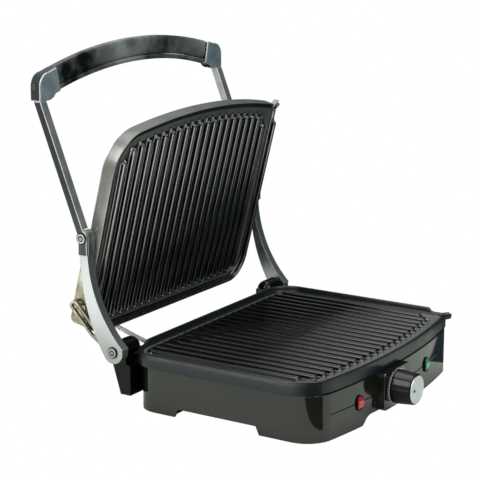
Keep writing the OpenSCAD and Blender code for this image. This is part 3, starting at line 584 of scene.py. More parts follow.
# Sheathed element, oxidised by heat
ELEMENT_SHEATH = Finish(
    "oxidised_element_sheath", "#5d5a55", "#6d6a66", 0.48, metallic=0.8, grain_mm=0.8, grain_depth=0.03
)
# Hood of pressed steel with dark satin lacquer
HOOD_LACQUER = Finish(
    "dark_satin_lacquer", "#26282a", "#2c2e30", 0.3, metallic=0.3, coat=0.25, coat_roughness=0.12, grain_mm=0.6,
    grain_depth=0.012, mottle_mm=50.0,
)
# Steatite and urea blocks
PALE_INSULATOR = Finish("pale_urea_moulding", "#d9d2c0", "#cfc7b4", 0.45, grain_mm=0.9, grain_depth=0.03)
GLASS_SLEEVE = Braided("braided_glass_sleeve", "#cfcdc4", "#6f6c66", 0.55, grain_mm=0.5)
RED_LENS = LitLens("red_lamp_lens", "#96141f", "#b02630", 0.1, coat=0.6, grain_mm=3.0, grain_depth=0.005, glow=0.12)
GREEN_LENS = LitLens("green_lamp_lens", "#0b7a64", "#0f8a72", 0.12, coat=0.6, grain_mm=3.0, grain_depth=0.005, glow=0.15)
PRINTED_WHITE = Finish("white_printing_ink", "#c9cbcc", "#bfc1c2", 0.5, grain_mm=0.4, grain_depth=0.005)


# Studio


@dataclass
class Studio:
    """Camera at the photograph's place, soft lamps, a table that only lights the toaster."""

    target: tuple[float, float, float] = (-114.2, -35.7, 182.6)
    eye: tuple[float, float, float] = (-1408.2, -856.9, 544.9)
    lens_px: float = 1650.0
    bright_side: tuple[float, float, float] = (-0.5, 0.4, 0.77)
    frame_px: float = 480.0
    lamps: dict[str, tuple] = field(
        default_factory=lambda: {
            "window_left": ((-1500, 300, 1500), 1300, 34.0),
            "window_front": ((-300, -1900, 1300), 1300, 26.0),
            "ceiling": ((100, 200, 2000), 1400, 22.0),
        }
    )

    def build(self) -> None:
        """Sets the camera, the lamps, the world, the table and a dark card that the front corner mirrors."""
        self.camera()
        for name, (place, size, power) in self.lamps.items():
            self.lamp(name, place, size, power)
        self.world()
        self.sheet("table", (-1600, -520), (170, 1500), -0.5, "#b4bab1")
        self.sheet("table_front", (170, -520), (330, -165), -0.5, "#b4bab1")
        self.sheet("white_card", (-1100, -420), (-402, 500), 1.0, "#ffffff", 2.6)
        self.sheet("dark_card", (-400, -520), (-125, -176), 1.0, "#050505")

    def camera(self) -> None:
        """Makes the camera; its focal length is lens_px out of frame_px of a 36 mm sensor."""
        data = bpy.data.cameras.new("photo_camera")
        data.sensor_width = 36.0
        data.lens = 36.0 * self.lens_px / self.frame_px
        data.clip_end = 50.0
        obj = bpy.data.objects.new("photo_camera", data)
        bpy.context.scene.collection.objects.link(obj)
        obj.location = Vector(self.eye) * MM
        obj.rotation_euler = (Vector(self.target) - Vector(self.eye)).to_track_quat("-Z", "Y").to_euler()
        bpy.context.scene.camera = obj

    def lamp(self, name: str, place: tuple[float, float, float], size: float, power: float) -> None:
        """Makes one square soft lamp that faces the toaster.

        Args:
            name: Name of the lamp.
            place: Where it hangs, in millimetres.
            size: Length of its side, in millimetres.
            power: Watts.
        """
        data = bpy.data.lights.new(name, "AREA")
        data.size = size * MM
        data.energy = power
        obj = bpy.data.objects.new(name, data)
        bpy.context.scene.collection.objects.link(obj)
        obj.location = Vector(place) * MM
        obj.rotation_euler = (Vector((0, 0, 150)) - Vector(place)).to_track_quat("-Z", "Y").to_euler()

    def world(self) -> None:
        """White to the camera; to all other light a room that is bright above and on the left, dark at the right."""
        world = bpy.data.worlds.new("studio")
        bpy.context.scene.world = world
        world.use_nodes = True
        tree = world.node_tree
        tree.nodes.clear()
        heading = add_node(tree, "TexCoord").outputs["Generated"]
        facing = add_node(tree, "VectorMath", {"operation": "DOT_PRODUCT"}, i0=heading, i1=self.bright_side)
        level = add_node(
            tree, "MapRange", {"interpolation_type": "SMOOTHSTEP"}, Value=facing.outputs["Value"], From_Min=-0.15,
            From_Max=0.6,
        ).outputs[0]  # fmt: skip
        room = add_node(
            tree, "Mix", {"data_type": "RGBA"}, i0=level, i6=to_linear("#33454d"), i7=to_linear("#ffffff")
        ).outputs[2]
        seen = add_node(tree, "LightPath").outputs["Is Camera Ray"]
        colour = add_node(tree, "Mix", {"data_type": "RGBA"}, i0=seen, i6=room, i7=to_linear("#ffffff")).outputs[2]
        background = add_node(tree, "Background", Color=colour, Strength=1.0)
        out = add_node(tree, "OutputWorld")
        tree.links.new(background.outputs[0], out.inputs["Surface"])

    def sheet(
        self, name: str, low: tuple[float, float], high: tuple[float, float], z: float, colour: str,
        glow: float = 0.0,
    ) -> None:  # fmt: skip
        """Lays a flat sheet under or beside the toaster that lights it but isn't itself in the picture.

        Args:
            name: Name of the sheet.
            low: Its corner at the lowest x and y, in millimetres.
            high: The opposite corner.
            z: Its height.
            colour: Its colour.
            glow: Light that it gives by itself.
        """
        corners = np.array([[low[0], low[1], z], [high[0], low[1], z], [high[0], high[1], z], [low[0], high[1], z]])
        mesh = bpy.data.meshes.new(name)
        mesh.from_pydata((corners * MM).tolist(), [], [[0, 1, 2, 3]])
        obj = bpy.data.objects.new(name, mesh)
        bpy.context.scene.collection.objects.link(obj)
        obj.visible_camera = False
        mat = bpy.data.materials.new(name)
        mat.use_nodes = True
        shader = mat.node_tree.nodes["Principled BSDF"]
        shader.inputs["Base Color"].default_value = to_linear(colour)
        shader.inputs["Roughness"].default_value = 0.8
        shader.inputs["Emission Color"].default_value = to_linear(colour)
        shader.inputs["Emission Strength"].default_value = glow
        mesh.materials.append(mat)


# Grill plates


@dataclass(frozen=True)
class Outline:
    """Plan of a cast plate: bowed front, one large and one small front corner, two rear corners."""

    half_w: float = 147.0
    half_d: float = 112.0
    bow_r: float = 720.0
    left_r: float = 42.0
    right_r: float = 8.0
    rear_r: float = 28.0

    @property
    def bow_y(self) -> float:
        """Y of the bow's centre."""
        return self.bow_r - self.half_d

    def corner(self, r: float) -> tuple[float, float]:
        """Centre of a front corner of radius r, on the right: it touches the bow and the side."""
        x = self.half_w - r
        return x, self.bow_y - math.sqrt((self.bow_r - r) ** 2 - x**2)

    def front(self, x: np.ndarray, inset: float | np.ndarray, left_r: float, right_r: float) -> np.ndarray:
        """Y of the front edge, moved inward by inset: the bow's circle between the corners, a corner's circle beyond.

        Args:
            x: Places across the plate.
            inset: Distance inward.
            left_r: Radius of the left corner.
            right_r: Radius of the right corner.

        Returns:
            One Y for each x.
        """
        inset = inset + 0 * x
        bow = self.bow_y - np.sqrt((self.bow_r - inset) ** 2 - x**2)
        for sign, r in ((-1, left_r), (1, right_r)):
            cx, cy = self.corner(r)
            u = sign * x
            turn = cx * (self.bow_r - inset) / (self.bow_r - r)
            arc = cy - np.sqrt(np.maximum((r - inset) * abs(r - inset) - (u - cx) ** 2, 0.0))
            bow = np.where(u > turn, arc, bow)
        return bow

    def rear(self, x: np.ndarray, inset: float | np.ndarray) -> np.ndarray:
        """Y of the rear edge, moved inward: straight, then the corner's circle."""
        r = self.rear_r
        over = np.maximum(np.abs(x) - (self.half_w - r), 0.0)
        return self.half_d - r + np.sqrt(np.maximum((r - inset) ** 2 - over**2, 0.0))

    def ring(self) -> np.ndarray:
        """Points once round the outline, anticlockwise, as rows of x, y and the outward normal."""
        cx_l, cy_l = self.corner(self.left_r)
        cx_r, cy_r = self.corner(self.right_r)
        lean_l = math.degrees(math.atan2(cx_l, self.bow_y - cy_l))
        lean_r = math.degrees(math.atan2(cx_r, self.bow_y - cy_r))
        rear = self.half_w - self.rear_r, self.half_d - self.rear_r
        bow = rounded_corner(np.array([0.0, self.bow_y]), self.bow_r, -90 - lean_l, -90 + lean_r, 90)
        parts = [
            rounded_corner(np.array([-cx_l, cy_l]), self.left_r, -180, -90 - lean_l, 28)[:-1],
            bow,
            rounded_corner(np.array([cx_r, cy_r]), self.right_r, -90 + lean_r, 0, 16)[1:],
            self.straight((self.half_w, cy_r), (self.half_w, rear[1]), (1, 0), 60),
            rounded_corner(np.array(rear), self.rear_r, 0, 90, 22),
            self.straight((rear[0], self.half_d), (-rear[0], self.half_d), (0, 1), 40),
            rounded_corner(np.array([-rear[0], rear[1]]), self.rear_r, 90, 180, 22),
            self.straight((-self.half_w, rear[1]), (-self.half_w, cy_l), (-1, 0), 24),
        ]
        return np.vstack(parts)

    @staticmethod
    def straight(start: tuple, end: tuple, normal: tuple, count: int) -> np.ndarray:
        """Points between two ends, both left out, with one normal."""
        t = np.linspace(0, 1, count + 2)[1:-1, None]
        points = np.array(start) * (1 - t) + np.array(end) * t
        return np.hstack([points, np.broadcast_to(np.array(normal, float), points.shape)])


def smooth_step(low: float, high: float, value: np.ndarray) -> np.ndarray:
    """Goes from 0 at low to 1 at high along 3 t^2 - 2 t^3."""
    t = np.clip((value - low) / (high - low), 0.0, 1.0)
    return t * t * (3 - 2 * t)


@dataclass(frozen=True)
class LidPose:
    """How the open lid lies: drawn closed in the source, then swung about its pivot."""

    shift_y: float = -35.6806
    rim_closed: float = 70.6
    pivot_closed: tuple[float, float] = (5.0, 83.0)
    pivot_open: tuple[float, float] = (117.549, 174.182)
    turn_deg: float = 76.0

    def place(self, points: np.ndarray) -> np.ndarray:
        """Flips plate points upside down onto the closed rim, then opens them by turn_deg."""
        closed = points * np.array([1.0, 1.0, -1.0]) + np.array([0.0, 0.0, self.rim_closed])
        return self.open(closed)

    def open(self, closed: np.ndarray) -> np.ndarray:
        """Turns points of the closed lid about the pivot: y' = y cos a + z sin a, z' = z cos a - y sin a."""
        a = math.radians(self.turn_deg)
        y, z = closed[..., 1] - self.pivot_closed[0], closed[..., 2] - self.pivot_closed[1]
        turned = [y * math.cos(a) + z * math.sin(a), z * math.cos(a) - y * math.sin(a)]
        return np.stack([closed[..., 0], turned[0] + self.pivot_open[0], turned[1] + self.pivot_open[1]], axis=-1)


@dataclass(frozen=True)
class GrillPlate:
    """One ribbed cast plate, drawn with its rim at height zero and its cooking side up."""

    node: str
    plan: Outline = Outline()
    skirt: float = 14.0
    lip: float = 3.0
    border: float = 2.5
    groove: float = 2.0
    splash: float = 4.0
    pitch: float = 12.8
    count: int = 21
    rib_r: float = 3.2
    groove_r: float = 3.0
    rise: float = 1.0
    rim_z: float = 62.0

    def build(self, pose: LidPose | None) -> None:
        """Makes the rim, the ribbed floor and the spout, and puts them in place of the CAD plate.

        Args:
            pose: The lid's pose, or None for the lower plate.
        """
        if pose:
            place = pose.place
        else:
            place = lambda p: p + np.array([0.0, LidPose.shift_y, self.rim_z])  # noqa: E731
        rim = self.rim(place)
        Frame.stand_in(rim, self.node)
        # The lid's rim and spout take the lit copy of the skirt, the lower plate's the shaded copy
        wear(rim, LIT_SKIRT_COPY if pose else SHADED_SKIRT_COPY)
        if pose:
            self.coat_inside(rim, place)
        # The lid's floor takes the lit copy of the coating, the lower plate's floor the shaded copy
        floor = Frame.add(self.floor(place), self.node, NON_STICK if pose else SHADED_COATING_COPY)
        self.paint_border(floor, place)
        Frame.add(self.spout(place), self.node, LIT_SKIRT_COPY if pose else SHADED_SKIRT_COPY)

    @staticmethod
    def coat_inside(rim: bpy.types.Object, place) -> None:
        """Gives the rim's crest and inner side the coating of the cooking floor.

        Args:
            rim: The rim; a face is inside where its normal turns toward the plate's middle.
            place: Maps plate points to the row's frame; its inverse is (p - origin) . axes.
        """
        mesh = rim.data
        values = np.empty((2, len(mesh.polygons) * 3))
        mesh.polygons.foreach_get("center", values[0])
        mesh.polygons.foreach_get("normal", values[1])
        origin = place(np.zeros(3))
        axes = (place(np.eye(3)) - origin).T
        centres, normals = (values[0].reshape(-1, 3) / MM - origin) @ axes, values[1].reshape(-1, 3) @ axes
        inward = np.sum(centres[:, :2] * normals[:, :2], axis=1) < 0
        mesh.materials.append(NON_STICK.material())
        mesh.polygons.foreach_set("material_index", (inward | (normals[:, 2] > 0.6)).astype(np.int32))

    def paint_border(self, floor: bpy.types.Object, place) -> None:
        """Gives the flat border round the ribs its own finish, a lighter grey that is painted sheen.

        Args:
            floor: The cooking floor.
            place: Maps plate points to the row's frame; its inverse is (p - origin) . axes.
        """
        mesh = floor.data
        centres = np.empty(len(mesh.polygons) * 3)
        mesh.polygons.foreach_get("center", centres)
        origin = place(np.zeros(3))
        x, y, z = ((centres.reshape(-1, 3) / MM - origin) @ (place(np.eye(3)) - origin).T).T
        p = self.plan
        field_front, field_rear = p.front(x, 12.5, p.left_r, p.left_r), p.rear(x, 9.0)
        outside = (y < field_front) | (y > field_rear) | (np.abs(x) > self.pitch * self.count / 2 + 2.6)
        mesh.materials.append(BORDER_SHEEN.material())
        mesh.polygons.foreach_set("material_index", (outside & (z > -3.2)).astype(np.int32))

    def rim(self, place) -> bpy.types.Object:
        """Carries the lip's section along the outline: point = outline - inset x normal, at the section's height.

        The top of the section rises by the splash wall at the rear and right, and dips at the spout.
        """
        ring = self.plan.ring()
        x, y = ring[:, 0], ring[:, 1]
        section = np.array(
            [
                [3.0, -14.0, 0], [0.9, -14.0, 0], [0.3, -13.8, 0], [0.05, -13.3, 0], [0.0, -12.5, 0], [0.0, -6.0, 0],
                [0.0, -1.0, 1], [0.1, -0.55, 1], [0.35, -0.2, 1], [0.75, 0.0, 1], [1.5, 0.05, 1], [2.2, 0.0, 1],
                [2.65, -0.25, 1], [2.95, -0.7, 1], [3.1, -1.2, 0.6], [3.25, -1.8, 0], [3.6, -2.25, 0],
                [4.2, -2.48, 0], [5.6, -2.5, 0], [5.9, -2.9, 0], [5.9, -8.0, 0], [3.2, -8.0, 0],
            ]
        )  # fmt: skip
        wall = smooth_step(-80, -76, y) * (x > 100) + smooth_step(-120, -112, x) * (y > 100)
        wall = np.clip(wall * ((x > 100) | (y > 100)), 0, 1)
        height = self.splash * wall - 2.4 * np.exp(-(((y + 100.5) / 2.4) ** 2)) * (x > 140)
        flat = ring[:, None, :2] - section[None, :, :1] * ring[:, None, 2:]
        z = section[None, :, 1] + section[None, :, 2] * height[:, None]
        points = place(np.dstack([flat, z]))
        return make_piece(self.node + "_rim", points, [quads(len(ring), len(section), True, True)], 50)

    def columns(self) -> np.ndarray:
        """Places across the plate, close together on the ribs' shoulders."""
        half = np.array([0, 0.9, 1.7, 2.2, 2.55, 2.8, 3.0, 3.2, 3.45, 3.75, 4.2, 5.0])
        one = np.concatenate([-half[:0:-1], half])
        middles = (np.arange(self.count) - (self.count - 1) / 2) * self.pitch
        grooves = (np.arange(self.count + 1) - self.count / 2) * self.pitch
        side = np.array([137.0, 137.6, 138.6, 140.5, 142.2])
        return np.unique(np.round(np.concatenate([(middles[:, None] + one).ravel(), grooves, side, -side]), 4))

    def floor(self, place) -> bpy.types.Object:
        """Works out the cooking floor as a height over a grid.

        A rib is crown(distance to its middle line / rib_r) and a groove is the same with its own radius, so their
        ends come out round. Rows follow the bowed front and the rear edge, close together where the ribs end.
        """
        x = self.columns()[None, :]
        near = np.concatenate([[4.8, 7.0], np.arange(9.4, 20.0, 0.5), [22.0, 26.0]])[:, None]
        p = self.plan
        true_front = p.front(x, near, p.left_r, p.right_r)
        even_front = p.front(x, near, p.left_r, p.left_r)
        front = np.where(near < 9, true_front, even_front)
        back = np.concatenate([[24.0, 20.0], np.arange(17.0, 8.0, -0.5), [6.5, 4.8]])[:, None]
        rear = p.rear(x, back)
        share = np.linspace(0, 1, 8)[1:-1, None]
        middle = front[-1:] * (1 - share) + rear[:1] * share
        y = np.vstack([front, middle, rear])
        x = np.broadcast_to(x, y.shape)
        z = -self.border - 0.04 * (np.abs(x) > 140) + self.relief(x, y)
        z[0] -= 0.04
        z[-1] -= 0.04
        rows, cols = y.shape
        grid = np.dstack([x, y, z]).reshape(-1, 3)
        index = np.arange(rows * cols).reshape(rows, cols)
        edge = np.concatenate([index[0], index[1:, -1], index[-1, -2::-1], index[-2:0:-1, 0]])
        below = grid[edge] * np.array([1, 1, 0]) + np.array([0, 0, -7.9])
        low = rows * cols + np.arange(len(edge))
        skirt = np.stack([edge, np.roll(edge, -1), np.roll(low, -1), low], axis=1)
        points = place(np.vstack([grid, below]))
        return make_piece(self.node + "_floor", points, [quads(rows, cols), skirt, low.tolist()], 75)

    def relief(self, x: np.ndarray, y: np.ndarray) -> np.ndarray:
        """Height of ribs less depth of grooves at each point.

        Args:
            x: Places across.
            y: Places from front to rear.

        Returns:
            Height over the border, in millimetres.
        """
        half = (self.count - 1) / 2
        rib_x = np.clip(np.round(x / self.pitch), -half, half) * self.pitch
        groove_x = np.clip(np.round(x / self.pitch - 0.5) + 0.5, -half - 0.5, half + 0.5) * self.pitch
        rib = self.from_line(x - rib_x, y, *self.ends(rib_x, 15.0, 12.0), self.rib_r)
        channel = self.from_line(x - groove_x, y, *self.ends(groove_x, 10.0, 9.0), self.groove_r)
        crown = np.sqrt(1 - np.minimum(rib / 1.04, 1.0) ** 2.5)
        sunk = 1 - smooth_step(0.72, 1.04, channel)
        return (self.border + self.rise) * crown - self.groove * sunk

    def ends(self, x: np.ndarray, front: float, rear: float) -> tuple[np.ndarray, np.ndarray]:
        """Front and rear tips of the rib or groove at x."""
        p = self.plan
        return p.front(x, front, p.left_r, p.left_r), p.rear(x, rear)

    @staticmethod
    def from_line(dx: np.ndarray, y: np.ndarray, y0: np.ndarray, y1: np.ndarray, r: float) -> np.ndarray:
        """Distance from the middle line between two rounded tips, in radii."""
        dy = np.maximum(np.maximum(y0 + r - y, y - (y1 - r)), 0.0)
        return np.hypot(dx, dy) / r

    def spout(self, place) -> bpy.types.Object:
        """Carries a channel's section out over the squared corner, its floor rising a little to the tip."""
        section = np.array(
            [[-3.1, -6.0], [-3.7, -0.3], [-3.4, 0.35], [-2.7, 0.3], [-2.2, -0.4], [-1.5, -2.2], [0, -2.6],
             [1.5, -2.2], [2.2, -0.4], [2.7, 0.3], [3.4, 0.35], [3.7, -0.3], [3.1, -6.0]]
        )  # fmt: skip
        tip = np.array([self.plan.half_w + 3.0, -self.plan.half_d + 15.0 - 2.3])
        along, across = np.array([0.8, -0.6]), np.array([0.6, 0.8])
        t = np.array([0.0, 0.3, 0.7, 1.3, 3.0, 6.0, 9.0, 12.0])[:, None]
        shrink = np.array([0.82, 0.93, 0.98, 1.0, 1.0, 1.0, 0.96, 0.9])[:, None]
        flat = tip - t[..., None] * along + (section[None, :, 0] * shrink)[..., None] * across
        lift = np.array([2.2, 1.6, 1.2, 0.9, 0.5, 0.2, 0.0, 0.0])[:, None]
        z = np.where(section[None, :, 1] < -3, section[None, :, 1] + lift, section[None, :, 1] * (0.9 + 0.1 * shrink))
        n, k = len(t), len(section)
        ends = [list(range(k)), list(range((n - 1) * k, n * k))]
        points = place(np.dstack([flat, z + 0 * flat[..., 0]]))
        return make_piece(self.node + "_spout", points, [quads(n, k, loop_cols=True), *ends], 50)


# Base


@dataclass
class BaseUnit:
    """Glossy housing on four feet, with what it carries."""

    def build(self) -> None:
        """Dresses the housing, its cover, feet, screws and inner parts."""
        Frame.dress(PIANO_ABS, "base_housing")
        Frame.dress(SPARKED_NYLON, "base_bottom_cover", "mains_gland", "lower_lead_gland")
        Frame.dress(FOOT_RUBBER, "rubber_feet")
        Frame.dress(NICKELLED_SCREW, "base_screws", "plate_screws", "thermostat_shaft")
        Frame.dress(ELEMENT_SHEATH, "lower_heater")
        Frame.dress(GALVANISED, "lower_heat_shield", "thermal_fuse")
        Frame.dress(PALE_INSULATOR, "terminal_block", "thermostat_body")


@dataclass
class Dial:
    """Dial block, ring, barrel and bright face on the front."""

    x: float = -12.0
    z: float = 29.0
    back_y: float = -155.481
    block_y: float = -155.175
    length: float = 21.0
    foot_r: float = 17.25
    face_r: float = 14.5

    def build(self) -> None:
        """Makes the barrel and its face as turned pieces, and dresses the block and ring."""
        wear(softened_copy("control_bezel", 1.2), PIANO_ABS)
        Frame.dress(BRIGHT_TRIM, "dial_ring")
        centre = (self.x, self.back_y, self.z)
        barrel = turned_piece("dial_barrel", self.barrel_profile(), centre, "-y", 128)
        Frame.stand_in(barrel, "knob_shell")
        wear(barrel, DIAL_ABS)
        face = turned_piece("dial_face", self.face_profile(), centre, "-y", 128)
        Frame.stand_in(face, "knob_face")
        wear(face, SPUN_ALUMINIUM)
        dot = turned_piece(
            "dial_dot", np.array([[0, 0], [1.7, 0], [1.7, 0.06], [1.0, 0.06], [0.8, -0.25], [0, -0.25]]),
            (self.x - 6.0, self.back_y - self.length - 0.62, self.z), "-y", 32,
        )  # fmt: skip
        Frame.add(dot, "knob_face", DIAL_ABS)
        Frame.add(self.ticks(), "control_bezel", PRINTED_WHITE)

    def ticks(self) -> bpy.types.Object:
        """Prints short strokes on the block, radially, where the block reaches past the ring."""
        angles = np.radians(np.concatenate([np.arange(-56, 57, 8.0), np.arange(124, 237, 8.0)]))[:, None, None]
        radius = np.array([19.4, 19.4, 21.4, 21.4, 19.4, 19.4, 21.4, 21.4])
        width = np.array([-0.22, 0.22, 0.22, -0.22, -0.22, 0.22, 0.22, -0.22])
        raised = np.array([0.0, 0.0, 0.0, 0.0, 0.04, 0.04, 0.04, 0.04])
        a = angles[..., 0]
        x = self.x + radius * np.cos(a) - width * np.sin(a)
        z = self.z + radius * np.sin(a) + width * np.cos(a)
        y = self.block_y - raised + 0 * x
        box = np.array([[0, 1, 2, 3], [4, 5, 6, 7], [0, 1, 5, 4], [1, 2, 6, 5], [2, 3, 7, 6], [3, 0, 4, 7]])
        faces = (box[None] + 8 * np.arange(len(angles))[:, None, None]).reshape(-1, 4)
        return make_piece("dial_ticks", np.stack([x, y, z], axis=-1), [faces])

    def barrel_profile(self) -> np.ndarray:
        """Radius and height of the barrel: a short foot, a slow taper and a rolled front edge."""
        h = self.length
        return np.array(
            [[0, 0.0], [16.4, 0.0], [16.9, 0.15], [17.2, 0.5], [17.25, 1.0], [17.1, 2.2], [16.9, 4.0], [15.75, h - 2.6],
             [15.62, h - 1.4], [15.35, h - 0.6], [14.9, h - 0.12], [14.5, h], [0, h]]
        )  # fmt: skip

    def face_profile(self) -> np.ndarray:
        """Radius and height of the face: a flat disc with a turned bead near its rim."""
        h = self.length
        return np.array(
            [[0, h - 0.3], [14.3, h - 0.3], [14.45, h + 0.3], [14.2, h + 0.65], [13.8, h + 0.78], [13.1, h + 0.78],
             [12.8, h + 0.6], [12.5, h + 0.62], [0, h + 0.62]]
        )  # fmt: skip


@dataclass
class Lamps:
    """Two lamps beside the dial."""

    def build(self) -> None:
        """Dresses the lenses and their surrounds."""
        Frame.dress(DIAL_ABS, "lamp_bezels")
        Frame.dress(RED_LENS, "power_lamp")
        Frame.dress(GREEN_LENS, "ready_lamp")


@dataclass(frozen=True)
class RingHead:
    """What lies round and in the head of a pivot screw: a dark washer, a black disc in the well as painted shade, and a
    bright middle.
    """

    y: float
    z: float
    face_x: float
    radius: float

    def build(self, like: str) -> None:
        """Lays the washer, the painted-shade disc in the well and the middle on both sides of the toaster.

        Args:
            like: CAD node that the head belongs to.
        """
        r = self.radius
        parts = (
            ("washer", r + 1.2, -1.45, -1.1, DARK_WASHER_AND_SHADE), ("well", r * 0.62, -0.1, 0.03, DARK_WASHER_AND_SHADE),
            ("middle", r * 0.36, -0.1, 0.06, NICKELLED_SCREW), ("dot", r * 0.14, -0.1, 0.08, DARK_WASHER_AND_SHADE),
        )  # fmt: skip
        for side, axis in ((-1, "-x"), (1, "+x")):
            centre = (side * self.face_x, self.y, self.z)
            where = f"{like}_{'left' if side < 0 else 'right'}"
            for part, width, low, high, finish in parts:
                profile = np.array([[0, low], [width, low], [width, high - 0.02], [width - 0.02, high], [0, high]])
                Frame.add(turned_piece(f"{where}_{part}", profile, centre, axis, 48), like, finish)


@dataclass
class ArmFrame:
    """Arms, handle bars, corner caps and the bowed grip, which swing as one."""

    grip_y: float = 172.3
    grip_cz: float = -219.5
    grip_r: float = 560.0

    def build(self) -> None:
        """Rounds the metal pieces, sweeps the grip and dresses them all."""
        Frame.dress(DIAL_ABS, "hinge_bracket_left", "hinge_bracket_right")
        Frame.dress(NICKELLED_SCREW, "hinge_bolts")
        for side in ("left", "right"):
            arm = wear(softened_copy("arm_" + side, 0.5, 2), ARM_LACQUER)
            # The arm keeps its lacquer in front; its rounded edges get the painted highlight
            self.paint(arm, ARM_LACQUER, EDGE_HIGHLIGHT)
            # The left bar's side takes the shaded copy of the steel, the right bar's the lit copy
            bar = wear(softened_copy("handle_bar_" + side, 1.4, 4), SHADED_BAR if side == "left" else BAR_STEEL)
            self.paint(bar, BAR_FRONT, EDGE_HIGHLIGHT)
            # The caps' sides take the shaded copy; paint gives their fronts the lit copy and their edges a painted
            # highlight
            cap = wear(softened_copy("handle_cap_" + side, 1.2, 4), SHADED_BAR)
            cap.modifiers["rounding"].use_clamp_overlap = False
            self.paint(cap, CAP_FRONT_LIT_COPY, EDGE_HIGHLIGHT)
        Frame.dress(SPARKED_NYLON, "cap_screws")
        RingHead(84.319, 62.0, 161.3, 4.8).build("hinge_bolts")
        self.grip()

    @staticmethod
    def paint(piece: bpy.types.Object, front: Finish, edge: Finish) -> None:
        """Gives the faces that look forward a lit or shaded copy of their own, and the rounded edges a painted
        highlight.
        """
        mesh = piece.data
        normals = np.empty(len(mesh.polygons) * 3)
        mesh.polygons.foreach_get("normal", normals)
        mesh.materials.append(front.material())
        mesh.materials.append(edge.material())
        mesh.polygons.foreach_set("material_index", (normals[1::3] < -0.5).astype(np.int32))
        piece.modifiers["rounding"].material = 2

    def grip(self) -> None:
        """Carries the grip's section along its bow: each point lies at radius grip_r + u round the bow's centre."""
        low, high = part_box("handle_grip")
        strip_low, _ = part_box("handle_grip_strip")
        mid_y = (low.y + high.y) / MM / 2
        top = high.z / MM
        centre_z = top - 12.5 - self.grip_r
        for node, u0, u1, crown in (
            ("handle_grip", -7.2, 12.5, 1.3),
            ("handle_grip_strip", -12.5, -7.5, 0.4),
        ):
            section = self.section(u0, u1, 10.0, crown)
            span = math.asin(132.0 / self.grip_r)
            a = np.linspace(-span, span, 72)[:, None]
            r = self.grip_r + section[None, :, 0]
            points = np.dstack([r * np.sin(a), mid_y + section[None, :, 1] + 0 * a, centre_z + r * np.cos(a)])
            n, k = 72, len(section)
            ends = [list(range(k)), list(range((n - 1) * k, n * k))]
            piece = make_piece("bowed_" + node, points, [quads(n, k, loop_cols=True), *ends], 40)
            Frame.stand_in(piece, node)
            wear(piece, GRIP_MOULDING)

    @staticmethod
    def section(u0: float, u1: float, depth: float, crown: float) -> np.ndarray:
        """Closed section of the grip: a superellipse that fills u0..u1 by depth, flatter on its front.

        Args:
            u0: Lower edge.
            u1: Upper edge.
            depth: Thickness from front to back.
            crown: How far the edges fall back from the middle of the front.

        Returns:
            Rows of height and depth offset.
        """
        t = np.linspace(0, 2 * np.pi, 56, endpoint=False)
        power = 0.34
        u = np.sign(np.cos(t)) * np.abs(np.cos(t)) ** power
        v = np.sign(np.sin(t)) * np.abs(np.sin(t)) ** power
        v = v * (1 - crown / depth * 2 * u**2 * 0.5)
        return np.stack([(u0 + u1) / 2 + u * (u1 - u0) / 2, v * depth / 2], axis=1)


@dataclass
class Lid:
    """Floating lid: plate, shield, hood and side brackets."""

    pose: LidPose = field(default_factory=LidPose)
    back: float = 85.8
    depth: float = 27.0

    def build(self) -> None:
        """Makes the upper plate and the hood, and dresses the rest."""
        GrillPlate("upper_grill_plate").build(self.pose)
        Frame.dress(ELEMENT_SHEATH, "upper_heater")
        Frame.dress(GALVANISED, "lid_chassis")
        Frame.dress(NICKELLED_SCREW, "lid_screws", "bracket_screws", "lid_pivot_screws")
        Frame.dress(SPARKED_NYLON, "upper_lead_gland")
        Frame.dress(PASSIVATED_STEEL, "lid_bracket_left", "lid_bracket_right", "tilt_pin")
        RingHead(117.549, 174.182, 164.3, 4.8).build("lid_pivot_screws")
        self.hood()

    def hood(self) -> None:
        """Draws the hood as rings that shrink from the plate's outline to a long-sided crown.

        A ring's point is P + s (Q - P), with P on the outline and Q its place on the crown, at depth x h.
        """
        ring = Outline().ring()
        edge = ring[:, :2] - 9.0 * ring[:, 2:]
        crown = np.stack([edge[:, 0] * 0.62, 19.0 + edge[:, 1] * 0.73], axis=1)
        steps = np.array(
            [[0, 0], [0, 0.07], [0.008, 0.105], [0.03, 0.14], [0.08, 0.19], [0.2, 0.3], [0.4, 0.475], [0.6, 0.65],
             [0.78, 0.8], [0.88, 0.875], [0.96, 0.925], [1.04, 0.96], [1.14, 0.985], [1.28, 1.0]]
        )  # fmt: skip
        s, h = steps[:, :1, None], steps[:, 1]
        flat = edge[None] + s * (crown - edge)[None]
        z = self.back + self.depth * h[:, None] + 0 * flat[..., 0]
        n, k = len(steps), len(ring)
        ends = [list(range(k)), list(range((n - 1) * k, n * k))]
        points = self.pose.open(np.dstack([flat, z]))
        hood = make_piece("lid_hood_shell", points, [quads(n, k, loop_cols=True), *ends], 40)
        Frame.stand_in(hood, "lid_hood")
        wear(hood, HOOD_LACQUER)


@dataclass
class Linkage:
    """Slotted link on the left."""

    def build(self) -> None:
        """Dresses the link."""
        Frame.dress(PASSIVATED_STEEL, "tilt_link")


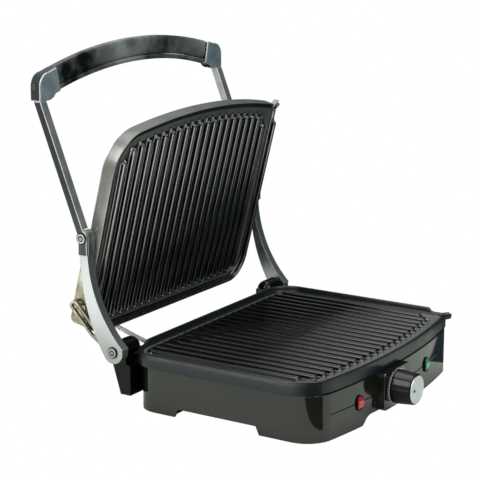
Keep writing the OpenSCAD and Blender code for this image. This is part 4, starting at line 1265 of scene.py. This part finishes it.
@dataclass
class HeaterLead:
    """Sleeve of the lid heater's wires behind the toaster, drawn for the open lid."""

    x: float = -75.0
    radius: float = 2.4
    steps: int = 12
    cut: int = 18
    slip: int = 3
    route: tuple = (
        (115, 36), (121, 37), (130, 42), (139, 48), (149, 51.2), (158, 53.6), (167, 56.5), (176, 59), (184, 62.5),
        (188.4, 68.4),
    )  # fmt: skip

    def build(self) -> None:
        """Makes the sleeve in two lengths that meet, the upper slipped into the lower."""
        end = LidPose().open(np.array([self.x, 109.0, 91.6]))
        knots = np.array([[self.x, y + LidPose.shift_y, z] for y, z in self.route] + [end.tolist()])
        path = self.curve(knots, self.steps)
        cut = self.cut
        pieces = (
            ("lead_lower", path[: cut + 1], path[0], path[cut], ("base", "arms")),
            ("lead_upper", path[cut - self.slip :], path[cut], path[-1], ("arms", "lid")),
        )
        for name, part, first, last, bodies in pieces:
            radius = np.full(len(part), self.radius)
            if name == "lead_upper":
                radius[: self.slip] -= 0.2
            piece = tube(name, part, radius, 20)
            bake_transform(piece)
            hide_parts("heater_lead")
            wear(piece, GLASS_SLEEVE)

    @staticmethod
    def curve(knots: np.ndarray, steps: int) -> np.ndarray:
        """Runs a smooth curve through the knots: a cubic per span whose ends take the neighbours' heading.

        Args:
            knots: Points on the route.
            steps: Points for each span.

        Returns:
            Points along the route.
        """
        before = np.vstack([2 * knots[0] - knots[1], knots[:-2]])
        after = np.vstack([knots[2:], 2 * knots[-1] - knots[-2]])
        a, b = knots[:-1, None], knots[1:, None]
        t = np.linspace(0, 1, steps, endpoint=False)[None, :, None]
        start, stop = (b - before[:, None]) / 2, (after[:, None] - a) / 2
        cubic = (2 * t**3 - 3 * t**2 + 1) * a + (t**3 - 2 * t**2 + t) * start
        cubic = cubic + (3 * t**2 - 2 * t**3) * b + (t**3 - t**2) * stop
        return np.vstack([cubic.reshape(-1, 3), knots[-1]])


def main() -> None:
    """Builds the scene, sub-assembly by sub-assembly."""
    logging.basicConfig(level=logging.INFO, format="%(name)s: %(message)s")
    bpy.context.scene.view_settings.view_transform = "Standard"
    Frame.load()
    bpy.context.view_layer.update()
    Studio().build()
    BaseUnit().build()
    GrillPlate("lower_grill_plate").build(None)
    Dial().build()
    Lamps().build()
    ArmFrame().build()
    Lid().build()
    Linkage().build()
    HeaterLead().build()


if __name__ == "__main__":
    main()
